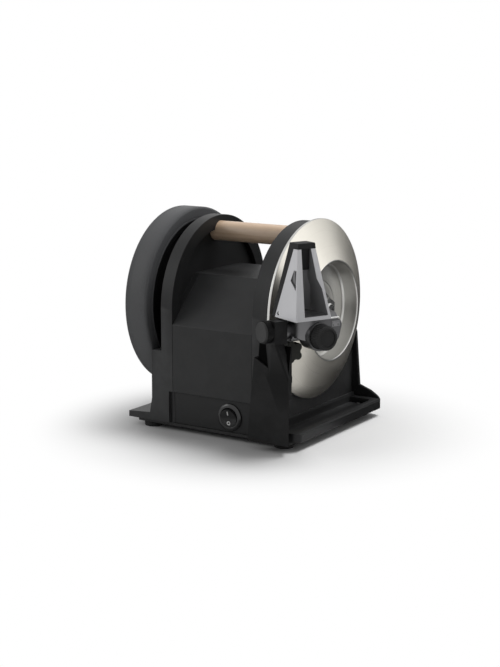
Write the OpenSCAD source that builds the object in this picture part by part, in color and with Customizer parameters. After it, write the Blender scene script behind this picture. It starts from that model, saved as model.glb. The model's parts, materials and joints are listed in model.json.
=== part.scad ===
// Bench knife sharpener: a conical grinding wheel and a honing wheel on one geared spindle,
// with a knife guide that slides on a rod and tilts over an angle scale.
// X runs from the honing wheel to the grinding wheel, Y to the back, Z up from the bench.

/* [Base] */
// Width over the left flange and the right tray
base_w = 168; // [164:1:182]
// Depth of the side frames, front to back
base_d = 145; // [142:1:156]
// Height of the wheel axle above the bench
axle_h = 103; // [98:1:115]
// Height of the rubber feet
foot_h = 4.5; // [3:0.5:8]
// Radius of the rubber feet
foot_r = 8; // [6:0.5:10]
// Distance of each foot's centre from the edge of the base, sideways
foot_in_x = 19; // [17:1:24]
// Distance of each foot's centre from the edge of the base, front to back
foot_in_y = 10; // [10:1:16]
// Thickness of the steel floor plate
floor_t = 2.5; // [1.5:0.5:4]
// Thickness of the flange at the left
flange_t = 5; // [4:0.5:7]

/* [Side frames] */
// Thickness of the left side frame
left_t = 11.3; // [10:0.1:14]
// Thickness of the right side frame
right_t = 13.6; // [13:0.1:16]
// Width of the raised rim round the dished inner face
rim_w = 11.5; // [9:0.5:14]
// Depth of the dish in the inner face
dish = 5; // [3:0.5:5.5]
// Width of the plinth under the honing wheel
plinth_w = 10.2; // [6:0.1:10.2]
// Height of the plinth above the bench
plinth_h = 68; // [50:1:75]

/* [Tray] */
// How far the tray reaches beyond the edge plane of the grinding wheel
tray_out = 25.2; // [23:0.2:30]
// Width of the rim at the right of the tray
tray_rim = 6.8; // [4:0.2:9]
// Width of the rim at the front and the back of the tray
tray_end = 10; // [8:0.5:13]
// Height of the rim above the underside of the tray
tray_h = 8; // [7.5:0.5:11]
// Thickness of the tray's floor
tray_t = 3.2; // [2.5:0.1:3.4]
// Thickness of the upright wings at the front and the back of the tray
wing_t = 3; // [2:0.5:4]

/* [Housing] */
// Width of the housing between the side frames
body_w = 78.5; // [77:0.5:90]
// Wall of the covers
cover_t = 3; // [2:0.5:3.5]
// Height of the flat top above the axle
top_up = 26; // [25:1:34]
// Distance from the axle forward to the front ridge
ridge_front = 31.5; // [22:0.5:45]
// Distance from the axle back to the rear ridge
ridge_back = 38; // [22:0.5:45]
// Depth below the axle at which the front slope starts
slope_down = 12; // [0:1:25]
// Depth of the recessed switch panel
panel_in = 2.5; // [1:0.5:3]
// Height of the recessed switch panel above the bench
panel_top = 34; // [32:1:45]
// Distance of the panel's left end from the right side frame
panel_len = 82.6; // [76:0.2:82.6]

/* [Switch] */
// Diameter of the switch's bezel
bezel_d = 23; // [21:0.5:24]
// Distance of the switch from the right side frame
switch_in = 22.9; // [16:0.1:40]
// Height of the switch above the bench
switch_up = 19.6; // [19:0.1:21]
// Angle through which the rocker tips
rocker_tip = 20; // [10:1:24]

/* [Grinding wheel] */
// Diameter of the grinding wheel
wheel_d = 150; // [140:1:152]
// Depth of the conical grinding face
cone_depth = 16.1; // [15.5:0.1:18]
// Diameter at which the cone ends and the recess starts
recess_d = 82.6; // [76:0.2:88]
// Depth of the recess in the middle of the wheel
recess_depth = 14; // [10:0.5:14]
// Width of the cylindrical edge behind the cone
edge_w = 3; // [2:0.5:5]
// Thickness of the wheel's metal
wheel_t = 5; // [4:0.5:6]
// Gap between the wheel's back and the right side frame
wheel_gap = 1.5; // [1:0.5:4]

/* [Honing wheel] */
// Diameter of the honing wheel
hone_d = 155.4; // [140:0.2:160]
// Width of the honing wheel
hone_w = 22.5; // [18:0.5:26]
// Thickness of the honing band round the rim
band_t = 10.4; // [6:0.2:14]
// Thickness of the web that carries the band
web_t = 6; // [4:0.5:7]
// Depth of the recess in the outer side of the honing wheel
hone_recess = 11.5; // [11.2:0.1:12]
// Gap between the plinth and the honing wheel
hone_gap = 1.4; // [1:0.1:4]

/* [Spindle] */
// Diameter of the spindle
shaft_d = 12; // [10:0.5:14]
// Outer diameter of each spindle bearing
bearing_d = 32; // [28:1:35]
// Width of each spindle bearing
bearing_w = 10; // [8:0.5:11]
// Radial clearance of the running fits
running_fit = 0.05; // [0.02:0.01:0.1]
// Gap left between pieces that fit into one another and stay still
seat_gap = 0.1; // [0.05:0.05:0.2]

/* [Gears] */
// Module of the gear teeth
gear_m = 1; // [0.8:0.05:1]
// Width of the gear teeth
gear_w = 8; // [6:0.5:9]
// Diameter of the idler's pin
idler_pin_d = 6; // [4:0.5:7]
// Diameter of the motor's shaft
motor_shaft_d = 5; // [4:0.5:5]

/* [Motor] */
// Diameter of the motor's can
can_d = 52; // [44:1:54]
// Length of the motor's can
can_len = 34; // [30:1:36]
// Wall of the motor's can
can_t = 1.5; // [1:0.5:2.5]
// Diameter of the capacitor
cap_d = 28; // [20:1:32]
// Length of the capacitor
cap_len = 42; // [30:1:46]

/* [Handle] */
// Diameter of the wooden bar
bar_d = 17; // [14:0.5:19]
// Height of the bar's axis above the axle
bar_up = 59; // [50:0.5:60]
// Depth of the sockets that hold the bar
socket = 2.2; // [1:0.1:2.5]

/* [Guide post] */
// Width of the post's foot
post_w = 39; // [34:0.5:42]
// Distance of the post's right edge from the wheel's edge plane
post_right = 23.6; // [21:0.2:24]
// How far the post's front stands before the wheel
post_front = 9; // [8:0.5:14]
// Gap between the wheel and the back of the post
post_gap = 3.2; // [2:0.1:4]
// Height at which the post steps forward to clear the wheel
step_h = 45; // [35:1:50]

/* [Guide arm] */
// Diameter of the rod on which the arm slides
rod_d = 10; // [8:0.5:11]
// Distance of the rod's axis from the grinding face
rod_out = 13; // [12.5:0.5:15]
// Depth of the rod's axis below the axle
rod_down = 4; // [3:0.5:6]
// Radius of the post's head and of the arm's collar round the rod
head_r = 9; // [8:0.5:9.5]
// Distance of the arm's outer face from the grinding face
arm_out = 36; // [34:0.5:38]
// Length of the arm along the rod
arm_len = 44; // [40:0.5:48]

/* [Knife guide] */
// Height of the guide's metal above the axle
guide_top = 61; // [50:1:70]
// Width of the guide at its foot, along the rod
guide_w = 32.9; // [30:0.1:33]
// Lean of the guide's front side
front_lean = 6.5; // [3:0.1:9]
// Lean of the guide's back side
back_lean = 9.6; // [3:0.1:12]
// Slope of the guiding face, outwards for each unit of height
face_slope = 0.25; // [0.2:0.01:0.32]
// Thickness of the rubber pad
pad_t = 5; // [3:0.5:5.5]
// Greatest tilt of the guide towards the wheel
tilt_max = 12; // [8:1:12]

/* [Knobs] */
// Diameter of the angle knob
knob_d = 19.5; // [16:0.5:20]
// Length of the angle knob
knob_len = 12; // [8:0.5:16]
// Number of grooves round the angle knob
knob_grooves = 24; // [12:1:28]
// Radius of the star knob over its lobes
star_r = 9.2; // [7:0.1:9.2]
// Thickness of the star knob
star_t = 7; // [5:0.5:7]
// Number of lobes on the star knob
star_lobes = 5; // [4:1:7]

/* [Hidden] */
$fn = 96;
few = 32;
tiny = 0.01;
through = 200;

black = [0.13, 0.13, 0.135];
dark = [0.2, 0.2, 0.205];
rubber = [0.07, 0.07, 0.07];
steel = [0.72, 0.72, 0.7];
silver = [0.62, 0.62, 0.63];
wood = [0.78, 0.64, 0.5];
copper = [0.72, 0.45, 0.25];
nylon = [0.85, 0.84, 0.78];

// Levels and planes
body_z = foot_h + floor_t;
half_d = base_d / 2;
wheel_r = wheel_d / 2;
recess_r = recess_d / 2;
hone_r = hone_d / 2;
shaft_r = shaft_d / 2;
bearing_r = bearing_d / 2;
bearing_boss = 4;
bearing_boss_r = bearing_r + 6;
wheel_x = base_w / 2 - tray_out;
right_out = wheel_x - edge_w - wheel_gap;
right_in = right_out - right_t;
left_in = right_in - body_w;
left_out = left_in - left_t;
plinth_x = left_out - plinth_w;
hone_in = plinth_x - hone_gap;
hone_out = hone_in - hone_w;
hone_web = hone_out + hone_recess;
dish_r = half_d - rim_w;
top_z = axle_h + top_up;
slope_z = axle_h - slope_down;
switch_x = right_in - switch_in;
panel_y = -half_d + panel_in;
feet_x = base_w / 2 - foot_in_x;
feet_y = half_d - foot_in_y;
wing_top = axle_h - sqrt(max(1, pow(wheel_r + 1, 2) - pow(half_d - wing_t, 2)));
floor_inset = 2;
ledge_w = 2;
tray_corner = 7;
tray_inner_corner = 4;
foot_screw_r = 2;
foot_screws_up = 3.8;
foot_sink = 2.2;
lug_w = 9;
lug_screw_r = 1.5;
cover_screw_z = [body_z + 12, slope_z - 12];
bar_screw_r = 2.5;
bar_screw_len = 20;
post_screw_r = 2.5;
post_screw_z = [body_z + 13, step_h - 7];

// Vents and cord entry in the rear cover
vents = 5;
vent_step = 6;
vent_z = body_z + 42;
gland_x = left_in + 21;
gland_z = body_z + 16;
gland_r = 6;
cord_r = 3.5;
block_y = half_d - 34.5;
block_w = 14;
block_h = 13;

// Switch
bezel_h = 2.2;
switch_body_r = bezel_d / 2 - 1.5;
rocker_r = switch_body_r - 2.4;

// Gear train: spindle, idler and motor, seen in the Y-Z plane from the axle
drive_teeth = 40;
idler_small = 16;
idler_large = 36;
motor_teeth = 9;
idler_angle = -54;
motor_angle = -60;
idler_at = gear_m * (drive_teeth + idler_small) / 2 * [cos(idler_angle), sin(idler_angle)];
motor_at = idler_at + gear_m * (idler_large + motor_teeth) / 2 * [cos(motor_angle), sin(motor_angle)];
gear_gap = 1.5;
plate_t = 2.5;
gear_room = 28;
plate_low = [-22, -68];
plate_high = [40, 17];
gear_plate_x = right_in - gear_room;
stage_one = gear_plate_x + gear_gap;
stage_two = stage_one + gear_w + gear_gap;
can_r = can_d / 2;
can_x = gear_plate_x - plate_t - can_len;
gear_post_r = 4;
gear_posts_at = [[-16, -33], [33, 8], [-4, -63]];
rotor_r = 13;
fan_r = 21;
cap_y = -half_d + 41.5;
cap_z = body_z + 2 + cap_d / 2;
washer_t = 2;
washer_r = 15;
nut_t = 7;
nut_r = 10.9;
flange_r = 17;
flange_seat = 5;

// Guide frame: X away from the grinding face, Y along it towards the hub, Z above the axle
theta = atan(cone_depth / (wheel_r - recess_r));
arm_front = 9.3;
arm_top = 5.6;
slab_t = 12;
lug_r = 4;
collar_gap = 0.4;
head_front = -14.4;
head_back = 2.3;
neck_r = rod_d / 2 + 2.2;
collar_s = 7.2;
knob_s = 22.8;
knob_z = -7;
boss_r = knob_d / 2 + 1.7;
bezel_out = 2;
foot_z = 6.2;
foot_t = 3;
pin_r = 1.5;
pivot_d = 12;
pivot_z = 9.5;
knuckle_r = 3;
ear_front = 9.3;
ear_w = 5;
ear_back = 33.6;
pad_foot = 1 + face_slope * foot_z;
metal_foot = pad_foot + pad_t;
metal_top = 1 + face_slope * guide_top + pad_t + 2.6;
outer_foot = arm_out + 1.8;
outer_top = arm_out - 6.8;
skin = 4;
pad_cap = 4.6;
insert_z = 44;
cam_low = 4;
follower_d = 28.5;
cam_lift = (follower_d - pivot_d) * sin(tilt_max);
cam_turn = 270;
cam_r = cam_low + cam_lift + 1.1;
cam_d0 = 24.5;
cam_w = 7;
follower_gap = 0.3;
follower_w = 4;
shaft_hole_r = 3 + running_fit;
scale_s = arm_len - 9.6;
scale_z = -0.6;
scale_w = 7.8;
scale_h = 4.6;

// Collar round the rod, and the star knob below it
collar_r = head_r + 1;
collar_flat = -rod_down - 8.8;
star_d = rod_out - 6;
star_s = 13.5;
star_z = collar_flat - 0.4 - star_r;
star_screw_r = 2.5;
star_lug_d = 2;
star_lug_r = 5;

// The finished model stands centred on its own outline
reach_x = wheel_x + cos(theta) * (arm_out + knob_len) + sin(theta) * (knob_s + knob_d / 2);
cap_chamfer = 0.8;
cap_t = 2;
reach_y = -wheel_r - sin(theta) * (rod_out + head_r - 0.5 - cap_chamfer) + cos(theta) * (head_front - cap_t);
mid_x = (reach_x - base_w / 2) / 2;
mid_y = (hone_r + reach_y) / 2;

module in_place() {
    translate([-mid_x, -mid_y, 0]) children();
}

module at_axle() {
    translate([0, 0, axle_h]) children();
}

module at_guide() {
    translate([wheel_x, -wheel_r, axle_h]) rotate([0, 0, -theta]) children();
}

// Round bar along X, between two places
module bar_x(r, x0, x1, sides = 96) {
    translate([x0, 0, 0]) rotate([0, 90, 0]) cylinder(r = r, h = x1 - x0, $fn = sides);
}

// Round bar along Y, between two places
module bar_y(r, y0, y1, sides = 96) {
    translate([0, y0, 0]) rotate([-90, 0, 0]) cylinder(r = r, h = y1 - y0, $fn = sides);
}

// Solid of revolution about X, from points that give a radius and a place along X
module turned_x(points) {
    rotate([0, 90, 0]) rotate_extrude() polygon(points);
}

// Flat outline in Y and Z, carried along X
module slice_x(x0, x1) {
    translate([x0, 0, 0]) rotate([90, 0, 90]) linear_extrude(x1 - x0) children();
}

// Flat outline in X and Z, carried along Y
module slice_y(y0, y1) {
    translate([0, y1, 0]) rotate([90, 0, 0]) linear_extrude(y1 - y0) children();
}

module box(low, high) {
    translate(low) cube(high - low);
}

// Screw with its head above Z = 0 and its shank below
module screw(r, len, head_r, head_h) {
    difference() {
        union() {
            cylinder(r = head_r, h = head_h, $fn = few);
            translate([0, 0, -len]) cylinder(r = r, h = len + tiny, $fn = few);
        }
        translate([0, 0, head_h / 2]) cylinder(r = head_r / 2, h = head_h, $fn = 6);
    }
}

// Rim points of a quarter round, for turned shapes
function round_points(cx, cy, r, a0, a1, n = 4) =
    [for (i = [0 : n]) [cx + r * cos(a0 + (a1 - a0) * i / n), cy + r * sin(a0 + (a1 - a0) * i / n)]];

// Flat gear; phase turns its first tooth
module gear_2d(teeth, phase = 0) {
    pitch = 360 / teeth;
    tip = gear_m * (teeth / 2 + 0.9);
    root = gear_m * (teeth / 2 - 1.15);
    polygon([
        for (i = [0 : teeth - 1])
        for (p = [[root, -0.28], [tip, -0.09], [tip, 0.09], [root, 0.28]])
        p[0] * [cos(phase + (i + p[1]) * pitch), sin(phase + (i + p[1]) * pitch)]
    ]);
}

// Side frames and covers
module arch_2d(r = half_d) {
    translate([0, axle_h]) circle(r);
    translate([-r, body_z]) square([2 * r, axle_h - body_z]);
}

module housing_2d(inset = 0) {
    k = inset * 0.4;
    polygon([
        [-half_d + inset, body_z], [-half_d + inset, slope_z - k], [-ridge_front + k, top_z - inset],
        [ridge_back - k, top_z - inset], [half_d - inset, slope_z - k], [half_d - inset, body_z]
    ]);
}

module dish_2d() {
    difference() {
        translate([0, axle_h]) circle(dish_r);
        housing_2d();
    }
}

module switch_panel() {
    box([right_in - panel_len, -half_d - 1, 0], [right_out + 1, panel_y, panel_top]);
}

// Bearing seat and bar socket of a side frame
module frame_cuts(inner, way) {
    at_axle() {
        seat = inner + way * bearing_boss;
        bar_x(bearing_r + seat_gap, min(seat, seat - way * bearing_w), max(seat, seat - way * bearing_w));
        bar_x(shaft_r + 2, -through, through);
        translate([0, 0, bar_up]) {
            floor_x = inner - way * (dish + socket);
            bar_x(bar_d / 2 + seat_gap, min(floor_x, inner + way), max(floor_x, inner + way));
            bar_x(bar_screw_r + seat_gap, -through, through, few);
        }
    }
}

module foot_holes(places) {
    for (x = places, y = [-feet_y, feet_y])
        translate([x, y, body_z - tiny])
            cylinder(r = foot_screw_r + seat_gap, h = foot_screws_up + 0.2, $fn = few);
}

module cover_lugs(inner, way) {
    for (z = cover_screw_z) {
        low = min(inner, inner + way * lug_w);
        box([low, half_d - cover_t - lug_w, z - lug_w / 2], [low + lug_w, half_d - cover_t, z + lug_w / 2]);
    }
}

module left_frame() {
    color(black) in_place() difference() {
        union() {
            slice_x(left_out, left_in) arch_2d();
            at_axle() bar_x(bearing_boss_r, left_in - 1, left_in + bearing_boss);
            cover_lugs(left_in, 1);
            slice_y(-half_d, half_d) polygon([
                [-base_w / 2, body_z], [-base_w / 2, body_z + flange_t],
                [plinth_x - 2.6, body_z + flange_t + 1.6], [plinth_x - 0.2, body_z + 19],
                [plinth_x, plinth_h - 2], [plinth_x + 2, plinth_h], [left_out + 1, plinth_h],
                [left_out + 1, body_z]
            ]);
        }
        slice_x(left_in - dish, left_in + tiny) dish_2d();
        frame_cuts(left_in, 1);
        foot_holes([-feet_x]);
        switch_panel();
        lug_holes();
        // Hollow under the plinth
        box([plinth_x + 3, -half_d + 20, body_z - 1], [left_out + 3, half_d - 20, plinth_h - 8]);
        // Hollow under the flange
        box([-base_w / 2 + 4, -half_d + 20, body_z - 1], [plinth_x - 1, half_d - 20, body_z + 2]);
    }
}

module lug_holes() {
    for (x = [left_in + lug_w / 2, right_in - lug_w / 2], z = cover_screw_z)
        translate([x, 0, z]) bar_y(lug_screw_r + seat_gap, half_d - cover_t - lug_w - 1, half_d + 1, few);
}

module right_frame() {
    color(black) in_place() difference() {
        union() {
            slice_x(right_in, right_out) arch_2d();
            at_axle() bar_x(bearing_boss_r, right_in - bearing_boss, right_in + 1);
            cover_lugs(right_in, -1);
        }
        slice_x(right_in - tiny, right_in + dish) dish_2d();
        frame_cuts(right_in, -1);
        // Round recess for the flange behind the wheel
        at_axle() bar_x(flange_r + 1.5, right_out - flange_seat - 1, right_out + 1);
        switch_panel_end();
        lug_holes();
        idler_bore(right_in - tiny, right_in + 4);
    }
}

// Oblong from the frame outwards, with its two outer corners rounded
module tray_plan(x0, x1, half, r) {
    translate([x0, -half]) square([x1 - x0 - r, 2 * half]);
    translate([x0, r - half]) square([x1 - x0, 2 * (half - r)]);
    for (side = [-1, 1]) translate([x1 - r, side * (half - r)]) circle(r, $fn = few);
}

module dust_tray() {
    edge = base_w / 2;
    color(black) in_place() difference() {
        union() {
            intersection() {
                union() {
                    // Floor with its rim
                    difference() {
                        slice_y(-half_d, half_d) polygon([
                            [right_out, body_z], [edge, body_z], [edge, body_z + tray_h - 1.2],
                            [edge - 1.2, body_z + tray_h], [right_out, body_z + tray_h]
                        ]);
                        translate([0, 0, body_z + tray_t]) linear_extrude(tray_h) tray_plan(
                            right_out + ledge_w, edge - tray_rim, half_d - tray_end, tray_inner_corner);
                    }
                    // Ledge along the foot of the wall
                    box([right_out, -half_d, body_z], [right_out + ledge_w, half_d, body_z + tray_h + 3]);
                    // Back wing, with the sloping top of the rear rim
                    slice_y(half_d - wing_t, half_d) polygon([
                        [right_out, body_z], [edge, body_z], [edge, body_z + tray_h - 1],
                        [edge - 11.6, body_z + tray_h + 6], [edge - 22.6, body_z + tray_h + 10],
                        [wheel_x - 1.2, wing_top], [right_out, wing_top + 7]
                    ]);
                }
                linear_extrude(through) tray_plan(right_out, edge, half_d, tray_corner);
            }
            // Front wing that the post is screwed to
            box([right_out, -half_d, body_z], [wheel_x + post_right - 12.4, -half_d + wing_t + 2, step_h]);
        }
        foot_holes([feet_x]);
        post_holes(-half_d + wing_t + 3);
    }
}

// The recess of the switch panel also crosses the front edge of the right frame
module switch_panel_end() {
    box([right_in - 1, -half_d - 1, 0], [right_out - 3, panel_y, panel_top]);
}

module idler_bore(x0, x1) {
    at_axle() translate([0, idler_at[0], idler_at[1]]) bar_x(idler_pin_d / 2 + seat_gap, x0, x1, few);
}

module post_holes(back) {
    for (z = post_screw_z)
        translate([wheel_x + 1, 0, z]) bar_y(post_screw_r + seat_gap, -half_d - 8, back, few);
}

module front_cover() {
    color(dark) in_place() difference() {
        union() {
            difference() {
                slice_x(left_in, right_in) housing_2d();
                slice_x(left_in - 1, right_in + 1) housing_2d(cover_t);
                box([-through, -half_d + cover_t, 0], [through, half_d - cover_t, body_z + cover_t]);
                box([-through, ridge_back, 0], [through, half_d + 1, top_z + 1]);
                box([-through, ridge_back - 7, 0], [through, ridge_back + 1, top_z - cover_t]);
            }
            // Thicker wall behind the switch panel
            box([left_in, -half_d + 1, body_z], [right_in, panel_y + cover_t, panel_top + cover_t]);
        }
        switch_panel();
        translate([switch_x, 0, switch_up]) bar_y(switch_body_r + seat_gap, -half_d - 1, -half_d + 10);
        // Bearing bosses of the side frames
        at_axle() bar_x(bearing_boss_r + 1, left_in - 1, left_in + bearing_boss + 1);
    }
}

module rear_cover() {
    color(dark) in_place() difference() {
        union() {
            difference() {
                slice_x(left_in, right_in) housing_2d();
                slice_x(left_in - 1, right_in + 1) housing_2d(cover_t);
                box([-through, -half_d - 1, 0], [through, ridge_back, top_z + 1]);
            }
            // Tongue under the edge of the top
            box([left_in + 12, ridge_back - 6, top_z - cover_t - 2.1],
                [right_in - 12, ridge_back + 1, top_z - cover_t - 0.1]);
            // Vent slots are framed by a thicker panel
            box([left_in + 14, half_d - cover_t - 1, vent_z - 3],
                [right_in - 14, half_d - cover_t + 1, vent_z + 3 + vent_step * vents]);
        }
        for (i = [0 : vents - 1])
            box([left_in + 18, half_d - cover_t - 2, vent_z + vent_step * i],
                [right_in - 18, half_d + 1, vent_z + vent_step * i + 2.4]);
        lug_holes();
        translate([gland_x, 0, gland_z]) bar_y(gland_r + seat_gap, half_d - 10, half_d + 1);
    }
}

module floor_plate() {
    color(dark) in_place() difference() {
        box([-feet_x - foot_r - 2, -half_d + floor_inset, foot_h],
            [feet_x + foot_r + 2, half_d - floor_inset, body_z]);
        for (x = [-feet_x, feet_x], y = [-feet_y, feet_y])
            translate([x, y, 0]) cylinder(r = foot_screw_r + seat_gap, h = 20, $fn = few);
        for (i = [-2 : 2])
            box([i * 11 - 2, -20, 0], [i * 11 + 2, 25, 20]);
    }
}

module foot(x, y) {
    color(rubber) in_place() translate([x, y, 0]) difference() {
        rotate_extrude() polygon(concat(
            [[0, 0]], round_points(foot_r - 1, 1, 1, -90, 0), [[foot_r - 0.8, foot_h], [0, foot_h]]
        ));
        translate([0, 0, -1]) cylinder(r = 4.2, h = foot_sink + 1, $fn = few);
        cylinder(r = foot_screw_r + seat_gap, h = through, $fn = few);
    }
}

module foot_screws() {
    color(steel) in_place()
    for (x = [-feet_x, feet_x], y = [-feet_y, feet_y])
        translate([x, y, foot_sink]) mirror([0, 0, 1])
            screw(foot_screw_r, foot_h + floor_t - foot_sink + foot_screws_up, 4, 1.4);
}

module cover_screws() {
    color(steel) in_place()
    for (x = [left_in + lug_w / 2, right_in - lug_w / 2], z = cover_screw_z)
        translate([x, half_d, z]) rotate([-90, 0, 0]) screw(lug_screw_r, cover_t + lug_w - 1, 3, 2);
}

module handle_bar() {
    color(wood) in_place() at_axle() translate([0, 0, bar_up]) difference() {
        left = left_in - dish - socket + seat_gap;
        right = right_in + dish + socket - seat_gap;
        turned_x([[0, left], [bar_d / 2 - 0.5, left], [bar_d / 2, left + 0.5],
                  [bar_d / 2, right - 0.5], [bar_d / 2 - 0.5, right], [0, right]]);
        bar_x(bar_screw_r + seat_gap, left - 1, left + bar_screw_len, few);
        bar_x(bar_screw_r + seat_gap, right - bar_screw_len, right + 1, few);
    }
}

module handle_screws() {
    color(steel) in_place() at_axle() translate([0, 0, bar_up]) {
        translate([left_out, 0, 0]) rotate([0, -90, 0]) screw(bar_screw_r, bar_screw_len, 4.5, 2.6);
        translate([right_out, 0, 0]) rotate([0, 90, 0]) screw(bar_screw_r, bar_screw_len, 4.5, 2.6);
    }
}

module bearing(x0) {
    x1 = x0 + bearing_w;
    inner = shaft_r + running_fit;
    color(steel) in_place() at_axle() turned_x([
        [inner, x0], [inner + 3, x0], [inner + 3.4, x0 + 0.8], [bearing_r - 3, x0 + 0.8],
        [bearing_r - 2.6, x0], [bearing_r, x0], [bearing_r, x1], [bearing_r - 2.6, x1],
        [bearing_r - 3, x1 - 0.8], [inner + 3.4, x1 - 0.8], [inner + 3, x1], [inner, x1]
    ]);
}

// Motor, gear plate and electrics
module motor_can() {
    x1 = gear_plate_x - plate_t;
    color(silver) in_place() at_axle() translate([0, motor_at[0], motor_at[1]]) difference() {
        turned_x(concat(
            [[0, can_x]], [[can_r - 3, can_x]], [[can_r, can_x + 3]], [[can_r, x1], [0, x1]]
        ));
        bar_x(can_r - can_t, can_x + 2.5, x1 - 2.5);
        bar_x(motor_shaft_d / 2 + running_fit, can_x - 1, x1 + 1);
        for (a = [0 : 45 : 315]) rotate([a, 0, 0])
            box([can_x + 5, -2.5, can_r - 6], [can_x + 11, 2.5, can_r + 1]);
    }
}

module motor_stator() {
    color(copper) in_place() at_axle() translate([0, motor_at[0], motor_at[1]])
    slice_x(can_x + 13, gear_plate_x - plate_t - 4) difference() {
        circle(can_r - can_t - seat_gap);
        circle(rotor_r + 0.6);
        for (a = [0 : 30 : 330]) rotate(a) translate([rotor_r + 2, -1.2]) square([5, 2.4]);
    }
}

module gear_plate() {
    x1 = gear_plate_x;
    color(silver) in_place() at_axle() difference() {
        box([x1 - plate_t, plate_low[0], plate_low[1]], [x1, plate_high[0], plate_high[1]]);
        bar_x(shaft_r + 8, x1 - 10, x1 + 1);
        translate([0, idler_at[0], idler_at[1]]) bar_x(idler_pin_d / 2 + seat_gap, x1 - 10, x1 + 1, few);
        translate([0, motor_at[0], motor_at[1]]) bar_x(motor_shaft_d / 2 + 1, x1 - 10, x1 + 1, few);
        for (p = gear_posts_at) translate([0, p[0], p[1]]) bar_x(1.5 + seat_gap, x1 - 10, x1 + 1, few);
    }
}

module gear_posts() {
    color(steel) in_place() at_axle() for (p = gear_posts_at) translate([0, p[0], p[1]]) {
        bar_x(gear_post_r, gear_plate_x, right_in, few);
        translate([gear_plate_x - plate_t, 0, 0]) rotate([0, -90, 0]) screw(1.5, plate_t + 0.5, 3, 1.8);
    }
}

module idler_pin() {
    color(steel) in_place() at_axle() translate([0, idler_at[0], idler_at[1]])
        bar_x(idler_pin_d / 2, gear_plate_x - plate_t, right_in + 3.8, few);
}

module capacitor() {
    x0 = left_in + 3;
    color(nylon) in_place() translate([0, cap_y, cap_z]) {
        turned_x([
            [0, x0], [cap_d / 2 - 1, x0], [cap_d / 2, x0 + 1], [cap_d / 2, x0 + cap_len],
            [cap_d / 2 - 2, x0 + cap_len], [cap_d / 2 - 2, x0 + cap_len + 1.5], [0, x0 + cap_len + 1.5]
        ]);
        for (y = [-5, 5]) box([x0 + cap_len, y - 0.4, -3], [x0 + cap_len + 5, y + 0.4, 3]);
    }
}

module capacitor_clip() {
    x0 = left_in + 3 + cap_len / 2;
    color(silver) in_place() difference() {
        union() {
            translate([0, cap_y, cap_z]) bar_x(cap_d / 2 + 1.6, x0 - 6, x0 + 6);
            box([x0 - 6, cap_y - cap_d / 2 - 8, body_z], [x0 + 6, cap_y + cap_d / 2 + 8, body_z + 1.5]);
            box([x0 - 6, cap_y - cap_d / 2 - 1.6, body_z], [x0 + 6, cap_y + cap_d / 2 + 1.6, cap_z]);
        }
        translate([0, cap_y, cap_z]) bar_x(cap_d / 2 + seat_gap, x0 - 7, x0 + 7);
        box([x0 - 7, cap_y - 8, body_z - 20], [x0 + 7, cap_y + 8, body_z]);
    }
}

module terminal_block() {
    color(nylon) in_place() difference() {
        box([gland_x - 8, block_y, body_z], [gland_x + 28, block_y + block_w, body_z + block_h]);
        for (i = [0 : 3]) translate([gland_x - 3.5 + 9 * i, 0, body_z + 5]) {
            bar_y(2, block_y - 1, block_y + block_w + 1, few);
            translate([0, block_y + block_w / 2, 2]) cylinder(r = 2.2, h = block_h, $fn = few);
        }
    }
}

module switch_housing() {
    face_y = panel_y - bezel_h;
    color(black) in_place() translate([switch_x, 0, switch_up]) difference() {
        union() {
            rotate([-90, 0, 0]) rotate_extrude() polygon([
                [0, face_y], [bezel_d / 2 - 1.6, face_y],
                [bezel_d / 2, face_y + 1.2], [bezel_d / 2, panel_y],
                [switch_body_r, panel_y], [switch_body_r, panel_y + 20], [0, panel_y + 20]
            ]);
            for (x = [-5, 0, 5]) box([x - 0.4, panel_y + 19, -2.4], [x + 0.4, panel_y + 28, 2.4]);
        }
        bar_y(rocker_r + 0.5, face_y - 1, panel_y + 7);
    }
}

// Rocker, resting on its lower half; it turns about its own middle
module switch_rocker() {
    color(black) in_place() translate([switch_x, panel_y - bezel_h + 1.6, switch_up])
    rotate([rocker_tip / 2, 0, 0]) difference() {
        intersection() {
            bar_y(rocker_r, -6, 4);
            slice_x(-through, through) polygon([
                [-3, -rocker_r - 1], [-1.8, 0], [-3, rocker_r + 1], [0.5, rocker_r + 1],
                [3.6, 2.2], [3.6, -2.2], [0.5, -rocker_r - 1]
            ]);
        }
        bar_x(1, -through, through, few);
    }
}

module cord_gland() {
    color(black) in_place() translate([gland_x, 0, gland_z]) rotate([-90, 0, 0]) rotate_extrude() polygon([
        [cord_r, half_d - cover_t - 5], [gland_r, half_d - cover_t - 5], [gland_r, half_d],
        [gland_r + 2.5, half_d], [gland_r + 2.5, half_d + 2.5], [gland_r + 0.5, half_d + 4.6],
        [cord_r, half_d + 4.6]
    ]);
}

module gland_nut() {
    color(black) in_place() translate([gland_x, 0, gland_z]) difference() {
        translate([0, half_d - cover_t - 3.5, 0]) rotate([-90, 0, 0])
            cylinder(r = gland_r + 3.6, h = 3.5, $fn = 6);
        bar_y(gland_r + seat_gap, 0, half_d);
    }
}

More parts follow.
